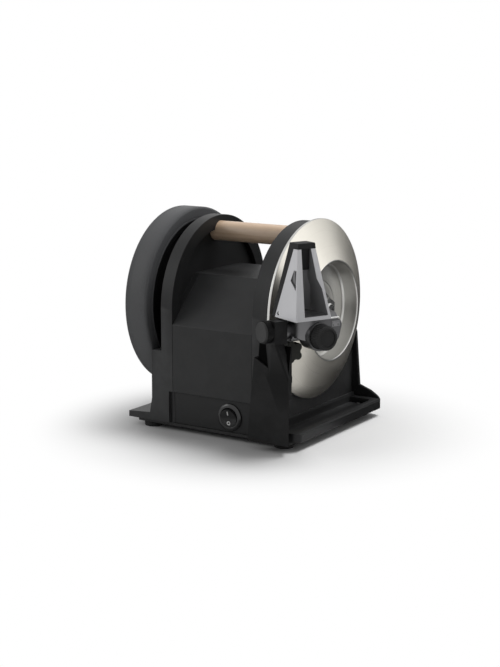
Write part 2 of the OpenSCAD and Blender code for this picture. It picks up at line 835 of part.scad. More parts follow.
// Post, rod and arm of the knife guide
module guide_post() {
    right = wheel_x + post_right;
    left = right - post_w;
    front = -wheel_r - post_front;
    back_low = -half_d;
    back_high = -wheel_r - post_gap;
    color(black) in_place() difference() {
        union() {
            intersection() {
                union() {
                    post_plan(left, right, front, back_low, body_z + 0.4, step_h);
                    post_plan(left, right, front, back_high, step_h - tiny, axle_h);
                }
                slice_y(front - 1, 0) polygon([
                    [left, 0], [right, 0], [right, axle_h - 40], [right - 8.3, axle_h - 40],
                    [left + 6.7, axle_h - 27], [left, body_z]
                ]);
            }
            // Sloping shoulder behind the front face
            slice_x(left + 9, right - 1) polygon([
                [front + 0.5, step_h], [front + 0.5, axle_h - 42], [back_high - 1.6, axle_h - 16],
                [back_high, axle_h - 16], [back_high, step_h]
            ]);
            // Neck up to the head
            hull() {
                box([right - 18, front, axle_h - 45], [right - 0.6, back_high, axle_h - 40]);
                at_guide() box([rod_out - 6, head_front + 6, -rod_down - 6],
                    [rod_out + 5, head_front + 14, -rod_down - 2]);
            }
            at_guide() translate([rod_out, 0, -rod_down]) bar_y(head_r, head_front, head_back);
            // Flat on the head's outer side
            at_guide() box([rod_out, head_front + 5, -rod_down - head_r],
                [rod_out + head_r, head_back, -rod_down + head_r]);
        }
        at_guide() translate([rod_out, 0, -rod_down])
            bar_y(rod_d / 2 + seat_gap, head_front + 2, head_back + 1);
        post_holes(-half_d + 1);
    }
}

module post_plan(left, right, front, back, z0, z1) {
    depth = back - front;
    translate([0, 0, z0]) linear_extrude(z1 - z0) polygon([
        [left, front], [right, front], [right - 0.66 * depth, back], [left + 0.76 * depth, back]
    ]);
}

module guide_rod() {
    color(steel) in_place() at_guide() translate([rod_out, 0, -rod_down])
        bar_y(rod_d / 2, head_front + 2.2, arm_len - 3);
}

module rod_cap() {
    r = head_r - 0.5;
    color(rubber) in_place() at_guide() translate([rod_out, head_front, -rod_down]) rotate([90, 0, 0])
        rotate_extrude() polygon([
            [0, 0], [r, 0], [r, cap_t - cap_chamfer], [r - cap_chamfer, cap_t], [0, cap_t]
        ]);
}

module post_screws() {
    color(steel) in_place() for (z = post_screw_z)
        translate([wheel_x + 1, -half_d + wing_t + 2, z]) rotate([-90, 0, 0])
            screw(post_screw_r, wing_t + 9, 3.8, 2.5);
}

module guide_arm() {
    back = arm_len - 2;
    color(silver) in_place() at_guide() difference() {
        union() {
            // Outer slab, rounded towards the collar
            intersection() {
                slice_x(rod_out, arm_out) hull() {
                    translate([collar_s + 3.6, arm_top - lug_r]) circle(lug_r, $fn = few);
                    translate([collar_s + 3.6, -rod_down - 1.6]) circle(lug_r, $fn = few);
                    translate([arm_len - 5, arm_top - 5]) circle(5, $fn = few);
                    translate([arm_len - 8, knob_z]) circle(6, $fn = few);
                }
                translate([0, 0, -through / 2]) linear_extrude(through) union() {
                    translate([arm_out - slab_t, collar_s + slab_t]) circle(slab_t);
                    translate([arm_out - slab_t, collar_s + slab_t]) square([slab_t, arm_len]);
                    translate([rod_out, collar_s]) square([slab_t - 1, arm_len]);
                }
            }
            translate([0, knob_s, knob_z]) bar_x(boss_r, arm_out - slab_t, arm_out + bezel_out);
            // Inner block, the collar round the rod and its neck towards the post
            slice_y(arm_front, back) polygon([
                [8, -rod_down - 5], [8, arm_top - 1.6], [rod_out, arm_top],
                [arm_out - slab_t + 1, arm_top], [arm_out - slab_t + 1, -rod_down - 5]
            ]);
            translate([rod_out, 0, -rod_down]) {
                bar_y(collar_r, collar_s, back - 2);
                bar_y(neck_r, head_back + collar_gap, collar_s + 1);
            }
            // Raised end that carries the back of the tilt pin and the scale
            slice_y(ear_back, back) polygon([
                [8, 0], [8, pivot_z], [pivot_d, pivot_z + knuckle_r], [arm_out - 6, pivot_z],
                [arm_out - 2, arm_top], [arm_out - 2, 0]
            ]);
            // Front ear of the tilt pin
            slice_y(ear_front, ear_front + ear_w) {
                translate([pivot_d, pivot_z]) circle(knuckle_r, $fn = few);
                translate([pivot_d - knuckle_r, 0]) square([2 * knuckle_r, pivot_z]);
            }
        }
        // Flat underside above the star knob
        box([0, 0, -through], [arm_out - slab_t, arm_len, collar_flat]);
        translate([rod_out, 0, -rod_down]) bar_y(rod_d / 2 + running_fit, 0, back);
        translate([pivot_d, 0, pivot_z]) bar_y(pin_r + seat_gap, 0, arm_len - 6, few);
        // Room for the cam, the shaft's hole and the slot of the follower
        translate([0, knob_s, knob_z]) {
            bar_x(cam_r, cam_d0 - 0.3, cam_d0 + cam_w + 0.3);
            bar_x(shaft_hole_r, cam_d0, arm_out + 5);
            bar_x(knob_d / 2 + 0.4, arm_out, arm_out + 5);
        }
        box([follower_d - 2.2, knob_s - follower_w / 2 - 0.5, knob_z],
            [follower_d + 4.7, knob_s + follower_w / 2 + 0.5, arm_top + 1]);
        // Seat of the scale
        box([arm_out - 0.6, scale_s, scale_z], [arm_out + 1, scale_s + scale_w, scale_z + scale_h]);
    }
}

// Lug beside the collar that carries the screw of the star knob
module star_lug() {
    color(silver) in_place() at_guide() difference() {
        slice_x(star_lug_d, star_d - 0.5) hull() {
            translate([star_s, star_z]) circle(star_lug_r, $fn = few);
            translate([star_s - star_lug_r, -rod_down - 3]) square([2 * star_lug_r, 1]);
        }
        translate([0, star_s, star_z]) bar_x(star_screw_r + running_fit, 0, star_d + 1, few);
        translate([rod_out, 0, -rod_down]) bar_y(collar_r, 0, arm_len);
    }
}

module scale_plate() {
    color(steel) in_place() at_guide()
        box([arm_out - 0.6 + tiny, scale_s + seat_gap, scale_z + seat_gap],
            [arm_out + 0.2, scale_s + scale_w - seat_gap, scale_z + scale_h - seat_gap]);
}

module star_knob() {
    lobe_r = star_r * 0.36;
    color(rubber) in_place() at_guide() translate([0, star_s, star_z]) difference() {
        slice_x(star_d, star_d + star_t) difference() {
            union() {
                circle(star_r * 0.74, $fn = few);
                for (i = [0 : star_lobes - 1]) rotate(360 / star_lobes * i + 35)
                    translate([star_r - lobe_r, 0]) circle(lobe_r, $fn = few);
            }
            for (i = [0 : star_lobes - 1]) rotate(360 / star_lobes * (i + 0.5) + 35)
                translate([star_r * 1.02, 0]) circle(star_r * 0.26, $fn = few);
        }
        bar_x(star_screw_r + seat_gap, star_d - 1, star_d + star_t - 2, few);
    }
}

module star_screw() {
    color(steel) in_place() at_guide() translate([0, star_s, star_z])
        bar_x(star_screw_r, star_lug_d, star_d + star_t - 2.2, few);
}

// Knife guide
function lean_in(z) = front_lean * (z - foot_z) / (guide_top - foot_z);
function lean_out(z) = guide_w - back_lean * (z - foot_z) / (guide_top - foot_z);
function metal_at(z) = metal_foot + (metal_top - metal_foot) * (z - foot_z) / (guide_top - foot_z);
function outer_at(z) = outer_foot + (outer_top - outer_foot) * (z - foot_z) / (guide_top - foot_z);

module obelisk(top) {
    intersection() {
        slice_y(0, guide_w) children();
        slice_x(0, 60) polygon([
            [lean_in(foot_z), foot_z], [lean_in(top), top], [lean_out(top), top], [lean_out(foot_z), foot_z]
        ]);
    }
}

module guide_frame() {
    mid = 38;
    color(silver) in_place() at_guide() difference() {
        union() {
            obelisk(guide_top) polygon([
                [metal_foot, foot_z], [metal_top, guide_top], [outer_top, guide_top], [outer_foot, foot_z]
            ]);
            // Follower that rests on the cam
            box([follower_d - 1.5, knob_s - follower_w / 2, knob_z + cam_low + follower_gap],
                [follower_d + 1.5, knob_s + follower_w / 2, foot_z + 1]);
        }
        // Open back between the two cheeks
        intersection() {
            slice_y(0, guide_w) polygon([
                [metal_foot + skin + 1, foot_z + foot_t], [metal_at(guide_top) + skin / 2, guide_top + 1],
                [60, guide_top + 1], [60, foot_z + foot_t]
            ]);
            slice_x(0, 70) polygon([
                [8.3, foot_z + foot_t], [lean_in(guide_top) + 3.6, guide_top + 1],
                [lean_out(guide_top) - 4.6, guide_top + 1], [lean_out(mid) - 5.2, mid],
                [lean_out(mid - 8) - 2.6, mid - 8], [lean_out(foot_z + foot_t) - 2.4, foot_z + foot_t]
            ]);
        }
        // Notch in the front cheek
        slice_y(-1, 4.6) polygon([[24.2, 36.5], [outer_at(52) - 0.6, 52], [outer_at(30) - 1.4, 30]]);
        slice_y(-1, 9.5) polygon([
            [outer_at(44) - 3.2, 44], [outer_at(44) - 1.6, 44],
            [outer_at(30) - 1.6, 30], [outer_at(30) - 3.2, 31]
        ]);
        translate([pivot_d, 0, pivot_z]) bar_y(pin_r + running_fit, -1, guide_w + 1, few);
        // Room for the front ear
        translate([pivot_d, 0, pivot_z])
            bar_y(knuckle_r + 0.4, ear_front - 0.4, ear_front + ear_w + 0.4, few);
        box([0, ear_front - 0.4, 0], [pivot_d + knuckle_r + 1.2, ear_front + ear_w + 0.4, pivot_z]);
    }
}

module guide_pad() {
    cap_z1 = guide_top + pad_cap;
    color(rubber) in_place() at_guide() {
        difference() {
            obelisk(cap_z1) polygon([
                [pad_foot, foot_z + 0.4], [1 + face_slope * cap_z1, cap_z1], [outer_top + 0.6, cap_z1],
                [outer_top + 0.6, guide_top + 0.05], [metal_top, guide_top + 0.05],
                [metal_foot, foot_z + 0.4]
            ]);
            box([0, ear_front - 0.8, 0], [pivot_d, ear_front + ear_w + 0.8, pivot_z + 3.5]);
        }
        // Insert on the outer side, under the cap
        intersection() {
            slice_y(0, guide_w) polygon([
                [metal_at(insert_z) + skin - 0.6, insert_z], [metal_top + skin / 2 + 0.2, guide_top + 0.1],
                [metal_top + skin / 2 + 2, guide_top + 0.1], [metal_at(insert_z) + skin + 1.6, insert_z]
            ]);
            slice_x(0, 60) polygon([
                [lean_in(guide_top) + 3, insert_z], [lean_in(guide_top) + 3.8, guide_top + 1],
                [lean_out(guide_top) - 4.8, guide_top + 1], [lean_out(insert_z) - 5.6, insert_z]
            ]);
        }
    }
}

module tilt_pin() {
    color(steel) in_place() at_guide() translate([pivot_d, 0, pivot_z]) bar_y(pin_r, 1, arm_len - 6.2, few);
}

module angle_knob() {
    r = knob_d / 2;
    groove_r = 0.55;
    color(rubber) in_place() at_guide() translate([0, knob_s, knob_z]) difference() {
        turned_x(concat(
            [[0, arm_out + 0.3], [r, arm_out + 0.3]],
            round_points(r - 1, arm_out + knob_len - 1, 1, 0, 90),
            [[r - 3, arm_out + knob_len], [r - 3.6, arm_out + knob_len - 0.5], [0, arm_out + knob_len - 0.5]]
        ));
        for (i = [0 : knob_grooves - 1]) rotate([360 / knob_grooves * i, 0, 0])
            translate([0, 0, r]) bar_x(groove_r, arm_out + bezel_out + 1, arm_out + knob_len + 1, 8);
        bar_x(3 + seat_gap, arm_out, arm_out + 8, few);
    }
}

// Cam radius, turned back from the follower by an angle
function cam_at(a) = cam_low + (
    a <= cam_turn ? cam_lift * a / cam_turn :
    a <= 300 ? cam_lift :
    a <= 335 ? cam_lift * (335 - a) / 35 : 0
);

module angle_cam() {
    color(steel) in_place() at_guide() translate([0, knob_s, knob_z]) {
        slice_x(cam_d0, cam_d0 + cam_w) polygon([
            for (a = [0 : 5 : 355]) cam_at(a) * [cos(90 - a), sin(90 - a)]
        ]);
        bar_x(3, cam_d0 + cam_w - tiny, arm_out + 7.8, few);
    }
}

// Spindle
module main_shaft() {
    left = hone_web - washer_t - nut_t - 2;
    right = wheel_x + cone_depth - recess_depth + washer_t + nut_t + 2;
    color(steel) in_place() at_axle() turned_x([
        [0, left], [shaft_r - 1, left], [shaft_r, left + 1],
        [shaft_r, right - 1], [shaft_r - 1, right], [0, right]
    ]);
}

module drive_gear() {
    color(nylon) in_place() at_axle() difference() {
        union() {
            slice_x(stage_one, stage_one + gear_w) gear_2d(drive_teeth, idler_angle);
            bar_x(shaft_r + 2, stage_one, stage_one + gear_w + 4);
        }
        bar_x(shaft_r + seat_gap, stage_one - 1, stage_one + gear_w + 6);
        for (a = [0 : 60 : 300]) rotate([a + 15, 0, 0]) translate([0, 0, shaft_r + 7.6])
            bar_x(2.2, stage_one - 1, stage_one + gear_w + 1, few);
    }
}

module wheel_flange() {
    x1 = wheel_x + cone_depth - recess_depth - wheel_t;
    x0 = right_out - flange_seat;
    color(steel) in_place() at_axle() turned_x([
        [shaft_r + seat_gap, x0], [shaft_r + 3, x0],
        [flange_r, x0 + 3], [flange_r, x1], [shaft_r + seat_gap, x1]
    ]);
}

module diamond_wheel() {
    floor_x = wheel_x + cone_depth - recess_depth;
    slant = wheel_t / cos(theta);
    color(steel) in_place() at_axle() turned_x([
        [shaft_r + seat_gap, floor_x - wheel_t], [recess_r + 1, floor_x - wheel_t],
        [recess_r + 4, wheel_x + cone_depth - 6 - slant * 0.5], [wheel_r - 9, wheel_x - 1.4],
        [wheel_r - 7, wheel_x - edge_w],
        [wheel_r - 0.6, wheel_x - edge_w], [wheel_r, wheel_x - edge_w + 0.6],
        [wheel_r, wheel_x - 0.4], [recess_r + 0.6, wheel_x + cone_depth - 0.2],
        [recess_r - 0.4, wheel_x + cone_depth - 0.2], [recess_r - 1, wheel_x + cone_depth - 1],
        [recess_r - 1.6, floor_x + 1.4], [recess_r - 3, floor_x], [shaft_r + seat_gap, floor_x]
    ]);
}

module washer(x0) {
    color(steel) in_place() at_axle() turned_x([
        [shaft_r + seat_gap, x0], [washer_r - 1, x0], [washer_r, x0 + 0.4], [washer_r, x0 + washer_t],
        [shaft_r + seat_gap, x0 + washer_t]
    ]);
}

module spindle_nut(x0) {
    color(steel) in_place() at_axle() difference() {
        translate([x0, 0, 0]) rotate([0, 90, 0]) cylinder(r = nut_r, h = nut_t, $fn = 6);
        bar_x(shaft_r + seat_gap, x0 - 1, x0 + nut_t + 1);
    }
}

module hone_flange() {
    x0 = hone_web + web_t;
    color(steel) in_place() at_axle() turned_x([
        [shaft_r + seat_gap, x0], [flange_r, x0], [flange_r, x0 + 2.5], [shaft_r + 4, x0 + 6],
        [shaft_r + 4, left_out - 1], [shaft_r + seat_gap, left_out - 1]
    ]);
}

module honing_hub() {
    web_x1 = hone_web + web_t;
    r = hone_r - band_t;
    color(black) in_place() at_axle() turned_x([
        [shaft_r + seat_gap, hone_web], [r - 8, hone_web], [r - 5, hone_out + 1.5], [r, hone_out + 1.5],
        [r, hone_in - 1.5], [r - 5, hone_in - 1.5], [r - 8, web_x1], [shaft_r + seat_gap, web_x1]
    ]);
}

module honing_band() {
    r = hone_r - band_t;
    color(dark) in_place() at_axle() turned_x(concat(
        [[r, hone_out]], round_points(hone_r - 2.2, hone_out + 2.2, 2.2, -90, 0),
        round_points(hone_r - 2.2, hone_in - 2.2, 2.2, 0, 90), [[r, hone_in]]
    ));
}

module idler_gear() {
    color(nylon) in_place() at_axle() translate([0, idler_at[0], idler_at[1]]) difference() {
        union() {
            slice_x(stage_one, stage_one + gear_w + gear_gap)
                gear_2d(idler_small, idler_angle + 180 + 180 / idler_small);
            slice_x(stage_two, stage_two + gear_w) gear_2d(idler_large, motor_angle);
        }
        bar_x(idler_pin_d / 2 + running_fit, stage_one - 1, stage_two + gear_w + 1);
    }
}

module motor_shaft() {
    color(steel) in_place() at_axle() translate([0, motor_at[0], motor_at[1]])
        bar_x(motor_shaft_d / 2, can_x - 10, stage_two + gear_w + 1);
}

module motor_pinion() {
    color(steel) in_place() at_axle() translate([0, motor_at[0], motor_at[1]]) difference() {
        slice_x(stage_two, stage_two + gear_w) gear_2d(motor_teeth, motor_angle + 180 + 180 / motor_teeth);
        bar_x(motor_shaft_d / 2 + seat_gap / 2, stage_two - 1, stage_two + gear_w + 1);
    }
}

module motor_rotor() {
    color(silver) in_place() at_axle() translate([0, motor_at[0], motor_at[1]])
    slice_x(can_x + 12, gear_plate_x - plate_t - 4) difference() {
        circle(rotor_r);
        circle(motor_shaft_d / 2 + seat_gap / 2);
        for (a = [0 : 30 : 330]) rotate(a) translate([rotor_r - 1.6, -0.6]) square([3, 1.2]);
    }
}

module motor_fan() {
    color(black) in_place() at_axle() translate([0, motor_at[0], motor_at[1]])
    slice_x(can_x - 9, can_x - 2) difference() {
        union() {
            circle(8, $fn = few);
            for (a = [0 : 45 : 315]) rotate(a) translate([6, -0.8]) square([fan_r - 6, 1.6]);
        }
        circle(motor_shaft_d / 2 + seat_gap / 2);
    }
}

left_frame();
right_frame();
dust_tray();
front_cover();
rear_cover();
floor_plate();
foot(-feet_x, -feet_y);  // foot_front_left
foot(feet_x, -feet_y);  // foot_front_right
foot(-feet_x, feet_y);  // foot_rear_left
foot(feet_x, feet_y);  // foot_rear_right
foot_screws();
cover_screws();
handle_bar();
handle_screws();
bearing(left_in + bearing_boss - bearing_w);  // bearing_left
bearing(right_in - bearing_boss);  // bearing_right
motor_can();
motor_stator();
gear_plate();
gear_posts();
idler_pin();
capacitor();
capacitor_clip();
terminal_block();
switch_housing();
cord_gland();
gland_nut();
guide_post();
guide_rod();
rod_cap();
post_screws();
main_shaft();
drive_gear();
wheel_flange();
diamond_wheel();
washer(wheel_x + cone_depth - recess_depth);  // wheel_washer
spindle_nut(wheel_x + cone_depth - recess_depth + washer_t);  // wheel_nut
hone_flange();
honing_hub();
honing_band();
washer(hone_web - washer_t);  // hone_washer
spindle_nut(hone_web - washer_t - nut_t);  // hone_nut
idler_gear();
motor_shaft();
motor_rotor();
motor_pinion();
motor_fan();
switch_rocker();
guide_arm();
star_lug();
scale_plate();
star_knob();
star_screw();
guide_frame();
guide_pad();
tilt_pin();
angle_knob();
angle_cam();
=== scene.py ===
"""Bench knife sharpener: finished pieces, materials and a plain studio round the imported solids."""

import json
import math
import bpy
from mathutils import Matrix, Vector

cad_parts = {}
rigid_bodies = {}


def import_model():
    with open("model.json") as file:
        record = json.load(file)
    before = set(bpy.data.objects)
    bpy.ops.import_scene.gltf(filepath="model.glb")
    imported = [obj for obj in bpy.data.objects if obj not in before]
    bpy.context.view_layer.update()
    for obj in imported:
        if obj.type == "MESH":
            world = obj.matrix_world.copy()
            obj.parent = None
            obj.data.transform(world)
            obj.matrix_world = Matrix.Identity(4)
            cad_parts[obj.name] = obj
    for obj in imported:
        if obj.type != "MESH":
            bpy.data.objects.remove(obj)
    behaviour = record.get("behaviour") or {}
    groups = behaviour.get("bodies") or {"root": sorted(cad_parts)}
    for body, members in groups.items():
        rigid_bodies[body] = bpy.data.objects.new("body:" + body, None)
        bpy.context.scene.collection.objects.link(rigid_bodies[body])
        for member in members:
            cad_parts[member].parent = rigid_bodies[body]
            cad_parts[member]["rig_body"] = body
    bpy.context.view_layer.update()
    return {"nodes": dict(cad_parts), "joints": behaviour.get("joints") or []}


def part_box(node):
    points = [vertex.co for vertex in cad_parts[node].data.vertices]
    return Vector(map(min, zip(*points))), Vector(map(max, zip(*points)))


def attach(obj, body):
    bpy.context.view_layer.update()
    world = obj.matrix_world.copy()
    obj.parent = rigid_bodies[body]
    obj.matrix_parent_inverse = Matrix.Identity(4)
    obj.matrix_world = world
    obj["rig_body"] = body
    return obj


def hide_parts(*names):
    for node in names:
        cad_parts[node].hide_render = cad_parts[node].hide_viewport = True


bl_info = {
    "name": "Bench Knife Sharpener",
    "version": (1, 0, 0),
    "blender": (4, 5, 0),
    "location": "View3D > Sidebar > Sharpener",
    "description": "Finishes a bench knife sharpener piece by piece and lights it in a studio",
    "category": "Object",
}

import bmesh
import bpy
from bpy.props import FloatProperty, FloatVectorProperty, IntProperty, PointerProperty
from mathutils import Matrix, Vector

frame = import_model()
MM = 0.001


def joint(name):
    """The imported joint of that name."""
    return next(j for j in frame["joints"] if j["name"] == name)


AXLE = Vector(joint("spindle_spin")["pos_m"])
ROCKER = Vector(joint("switch_tip")["pos_m"])
KNOB = Vector(joint("knob_turn")["pos_m"])
KNOB_AXIS = Vector(joint("knob_turn")["axis"]).normalized()
GUIDE_ALONG = Vector((-KNOB_AXIS.y, KNOB_AXIS.x, 0))
WHEEL_LOW, WHEEL_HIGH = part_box("diamond_wheel")
BAND_LOW, BAND_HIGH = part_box("honing_band")
BAR_LOW, BAR_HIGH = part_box("handle_bar")


# Sizes and colours that a user would change

class SharpenerSizes(bpy.types.PropertyGroup):
    """Sizes of the finish, in metres."""

    casting_round: FloatProperty(
        name="Casting edges", description="Rounding along the edges of the black castings",
        default=0.7 * MM, min=0.0, max=2 * MM, unit="LENGTH", precision=5)
    cover_round: FloatProperty(
        name="Cover edges", description="Rounding along the edges of the covers",
        default=0.6 * MM, min=0.0, max=2 * MM, unit="LENGTH", precision=5)
    guide_round: FloatProperty(
        name="Guide edges", description="Rounding along the edges of the silver guide",
        default=0.4 * MM, min=0.0, max=1 * MM, unit="LENGTH", precision=5)
    bar_swell: FloatProperty(
        name="Bar swell", description="How much thicker the carrying bar is in its middle",
        default=0.0, min=0.0, max=0.5 * MM, unit="LENGTH", precision=5)
    groove_depth: FloatProperty(
        name="Knob grooves", description="Depth of the grip grooves round the angle knob",
        default=0.45 * MM, min=0.1 * MM, max=1 * MM, unit="LENGTH", precision=5)
    knob_grooves: IntProperty(
        name="Groove count", description="Number of grip grooves round the angle knob",
        default=36, min=12, max=60)
    mark_height: FloatProperty(
        name="Switch marks", description="Height of the marks for on and off",
        default=3.4 * MM, min=2 * MM, max=5 * MM, unit="LENGTH", precision=5)


class SharpenerColours(bpy.types.PropertyGroup):
    """Colours of the finish, linear."""

    casting: FloatVectorProperty(
        name="Castings", description="Powder coat of the castings and the covers",
        subtype="COLOR", size=3, default=(0.0075, 0.0077, 0.008), min=0, max=1)
    compound: FloatVectorProperty(
        name="Honing band", description="Honing compound on the left wheel",
        subtype="COLOR", size=3, default=(0.05, 0.051, 0.0535), min=0, max=1)
    wood: FloatVectorProperty(
        name="Wood", description="Pale wood of the carrying bar",
        subtype="COLOR", size=3, default=(0.5, 0.37, 0.262), min=0, max=1)
    silver: FloatVectorProperty(
        name="Guide metal", description="Satin metal of the guide and its arm",
        subtype="COLOR", size=3, default=(0.45, 0.45, 0.462), min=0, max=1)
    steel: FloatVectorProperty(
        name="Grinding wheel", description="Turned steel of the grinding wheel",
        subtype="COLOR", size=3, default=(0.64, 0.615, 0.555), min=0, max=1)


def sizes():
    """The sizes in the scene's panel."""
    return bpy.context.scene.sharpener_sizes


def colours():
    """The colours in the scene's panel."""
    return bpy.context.scene.sharpener_colours


# Wiring of materials

def feed(tree, socket, value):
    """Gives a socket a value, or links another socket to it."""
    if isinstance(value, bpy.types.NodeSocket):
        tree.links.new(value, socket)
    else:
        socket.default_value = value


def wire(tree, kind, inputs=None, **settings):
    """Adds one node, sets it up, and gives its sockets values or links."""
    node = tree.nodes.new("ShaderNode" + kind)
    node.location = (180 * (len(tree.nodes) - 1), -60 * (len(tree.nodes) % 4))
    for key, value in settings.items():
        setattr(node, key, value)
    for key, value in (inputs or {}).items():
        feed(tree, node.inputs[key], value)
    return node


def math_node(tree, operation, *values):
    """One step of arithmetic; values may be numbers or sockets."""
    return wire(tree, "Math", dict(enumerate(values)), operation=operation).outputs[0]


def remap(tree, value, low, high, to_low, to_high):
    """Value spread from one range to another, held inside it."""
    node = wire(tree, "MapRange", {"Value": value, "From Min": low, "From Max": high,
                                   "To Min": to_low, "To Max": to_high})
    return node.outputs["Result"]


def hypotenuse(tree, first, second):
    """Length of two numbers at a right angle."""
    squared = math_node(tree, "MULTIPLY", first, first)
    return math_node(tree, "SQRT", math_node(tree, "MULTIPLY_ADD", second, second, squared))


def object_place(tree):
    """Where a point lies on the machine."""
    return wire(tree, "TexCoord").outputs["Object"]


def tinted(tree, colour, factor):
    """Colour made lighter or darker by a factor."""
    node = wire(tree, "VectorMath", {0: colour, "Scale": factor}, operation="SCALE")
    return node.outputs[0]


def blended(tree, factor, first, second):
    """Two colours mixed by a mask."""
    return wire(tree, "Mix", {0: factor, 6: first, 7: second}, data_type="RGBA").outputs[2]


def rgba(colour):
    """Three numbers with a full alpha."""
    return (colour[0], colour[1], colour[2], 1.0)


def effect(name, inputs, outputs, build):
    """A shared node group, made once."""
    found = bpy.data.node_groups.get(name)
    if found:
        return found
    tree = bpy.data.node_groups.new(name, "ShaderNodeTree")
    for label, kind, value in inputs:
        socket = tree.interface.new_socket(name=label, in_out="INPUT",
                                           socket_type="NodeSocket" + kind)
        socket.default_value = value
    for label, kind in outputs:
        tree.interface.new_socket(name=label, in_out="OUTPUT", socket_type="NodeSocket" + kind)
    build(tree, tree.nodes.new("NodeGroupInput").outputs, tree.nodes.new("NodeGroupOutput").inputs)
    return tree


def placed(tree, group, inputs=None):
    """A shared node group placed in a material, with its own values."""
    return wire(tree, "Group", inputs, node_tree=group).outputs


def tone_drift():
    """Slow changes of tone over a surface."""
    def build(tree, given, out):
        broad = wire(tree, "TexNoise", {"Vector": object_place(tree), "Scale": given["Scale"],
                                        "Detail": 4.0})
        low = math_node(tree, "SUBTRACT", 1.0, given["Amount"])
        high = math_node(tree, "ADD", 1.0, given["Amount"])
        factor = remap(tree, broad.outputs["Fac"], 0.35, 0.65, low, high)
        tree.links.new(tinted(tree, given["Color"], factor), out["Color"])
    inputs = [("Color", "Color", (0.5, 0.5, 0.5, 1)), ("Scale", "Float", 20.0),
              ("Amount", "Float", 0.1)]
    return effect("Tone drift", inputs, [("Color", "Color")], build)


def moulded_grain():
    """Fine grain of a moulded, sprayed or cast surface."""
    def build(tree, given, out):
        where = object_place(tree)
        noise = {"Vector": where, "Scale": given["Scale"], "Detail": 3.0, "Roughness": 0.6}
        fine = wire(tree, "TexNoise", noise).outputs["Fac"]
        wider = math_node(tree, "MULTIPLY", given["Scale"], 0.55)
        cells = wire(tree, "TexVoronoi", {"Vector": where, "Scale": wider}).outputs["Distance"]
        tree.links.new(math_node(tree, "MULTIPLY_ADD", cells, 0.6, fine), out["Height"])
        tree.links.new(fine, out["Speckle"])
    outputs = [("Height", "Float"), ("Speckle", "Float")]
    return effect("Moulded grain", [("Scale", "Float", 1200.0)], outputs, build)


def painted_edge_highlight():
    """Mask of the sharp edges where a lighter tone is painted as a highlight, broken up by noise."""
    def build(tree, given, out):
        point = wire(tree, "NewGeometry").outputs["Pointiness"]
        patch = wire(tree, "TexNoise", {"Vector": object_place(tree), "Scale": 90.0, "Detail": 4.0})
        edge = remap(tree, point, 0.53, 0.62, 0.0, 1.0)
        broken = remap(tree, patch.outputs["Fac"], 0.35, 0.65, 0.6, 1.0)
        mask = math_node(tree, "MULTIPLY", edge, broken)
        tree.links.new(math_node(tree, "MULTIPLY", mask, given["Amount"]), out["Mask"])
    return effect("Painted edge highlight", [("Amount", "Float", 1.0)], [("Mask", "Float")], build)


def turning_marks():
    """Rings left by a lathe about the spindle, across a face or along a rim."""
    def build(tree, given, out):
        moved = wire(tree, "Mapping", {"Vector": object_place(tree),
                                       "Location": (0, -AXLE.y, -AXLE.z)})
        across, level, upright = wire(tree, "SeparateXYZ", {0: moved.outputs[0]}).outputs
        radius = hypotenuse(tree, level, upright)
        place = math_node(tree, "MULTIPLY_ADD", across, 0.83, radius)
        counted = math_node(tree, "MULTIPLY", place, given["Scale"])
        noise = {"W": counted, "Scale": 1.0, "Detail": 6.0, "Roughness": 0.7}
        rings = wire(tree, "TexNoise", noise, noise_dimensions="1D")
        tree.links.new(rings.outputs["Fac"], out["Height"])
    return effect("Turning marks", [("Scale", "Float", 2500.0)], [("Height", "Float")], build)


def material(name, build):
    """A material of that name, made once."""
    found = bpy.data.materials.get(name)
    if found:
        return found
    made = bpy.data.materials.new(name)
    made.use_nodes = True
    tree = made.node_tree
    tree.nodes.clear()
    shader = tree.nodes.new("ShaderNodeBsdfPrincipled")
    out = tree.nodes.new("ShaderNodeOutputMaterial")
    tree.links.new(shader.outputs[0], out.inputs["Surface"])
    build(tree, shader)
    made.diffuse_color = (0.3, 0.3, 0.3, 1.0)
    return made


def fed(tree, shader, key, value):
    """Feeds one socket of the shader."""
    feed(tree, shader.inputs[key], value)


def bumped(tree, shader, height, strength, distance):
    """Feeds the shader's normal from a height."""
    bump = wire(tree, "Bump", {"Strength": strength, "Distance": distance, "Height": height})
    tree.links.new(bump.outputs[0], shader.inputs["Normal"])


def mottled(tree, speck, low, high):
    """A value that follows a surface's grain."""
    return remap(tree, speck, 0.3, 0.7, low, high)


def sprayed(name, colour, rough=0.42, scale=1500.0, strength=0.18, drift=0.12, edge_highlight=0.0, sheen=0.28):
    """Powder coat, moulded plastic or rubber, by its tone, gloss and grain."""
    def build(tree, shader):
        tone = placed(tree, tone_drift(), {"Color": rgba(colour), "Scale": 22.0, "Amount": drift})
        grain = placed(tree, moulded_grain(), {"Scale": scale})
        shade = tone["Color"]
        # Painted highlight: sharp edges get a lighter copy of the colour, standing in for light caught
        # along them.
        if edge_highlight:
            mask = placed(tree, painted_edge_highlight(), {"Amount": edge_highlight})["Mask"]
            wear_and_highlight = rgba([min(1.0, c * 3.0 + 0.03) for c in colour])
            shade = blended(tree, mask, shade, wear_and_highlight)
        fed(tree, shader, "Base Color", shade)
        fed(tree, shader, "Roughness", mottled(tree, grain["Speckle"], rough - 0.05, rough + 0.06))
        fed(tree, shader, "Specular IOR Level", sheen)
        bumped(tree, shader, grain["Height"], strength, 0.12 * MM)
    return material(name, build)


def satin_metal(name, colour, rough=0.35, grain=1800.0, strength=0.08, drift=0.04):
    """Blasted or plated metal."""
    def build(tree, shader):
        tone = placed(tree, tone_drift(), {"Color": rgba(colour), "Scale": 35.0, "Amount": drift})
        speck = placed(tree, moulded_grain(), {"Scale": grain})
        fed(tree, shader, "Base Color", tone["Color"])
        fed(tree, shader, "Metallic", 1.0)
        fed(tree, shader, "Roughness", mottled(tree, speck["Speckle"], rough - 0.05, rough + 0.05))
        bumped(tree, shader, speck["Height"], strength, 0.08 * MM)
    return material(name, build)


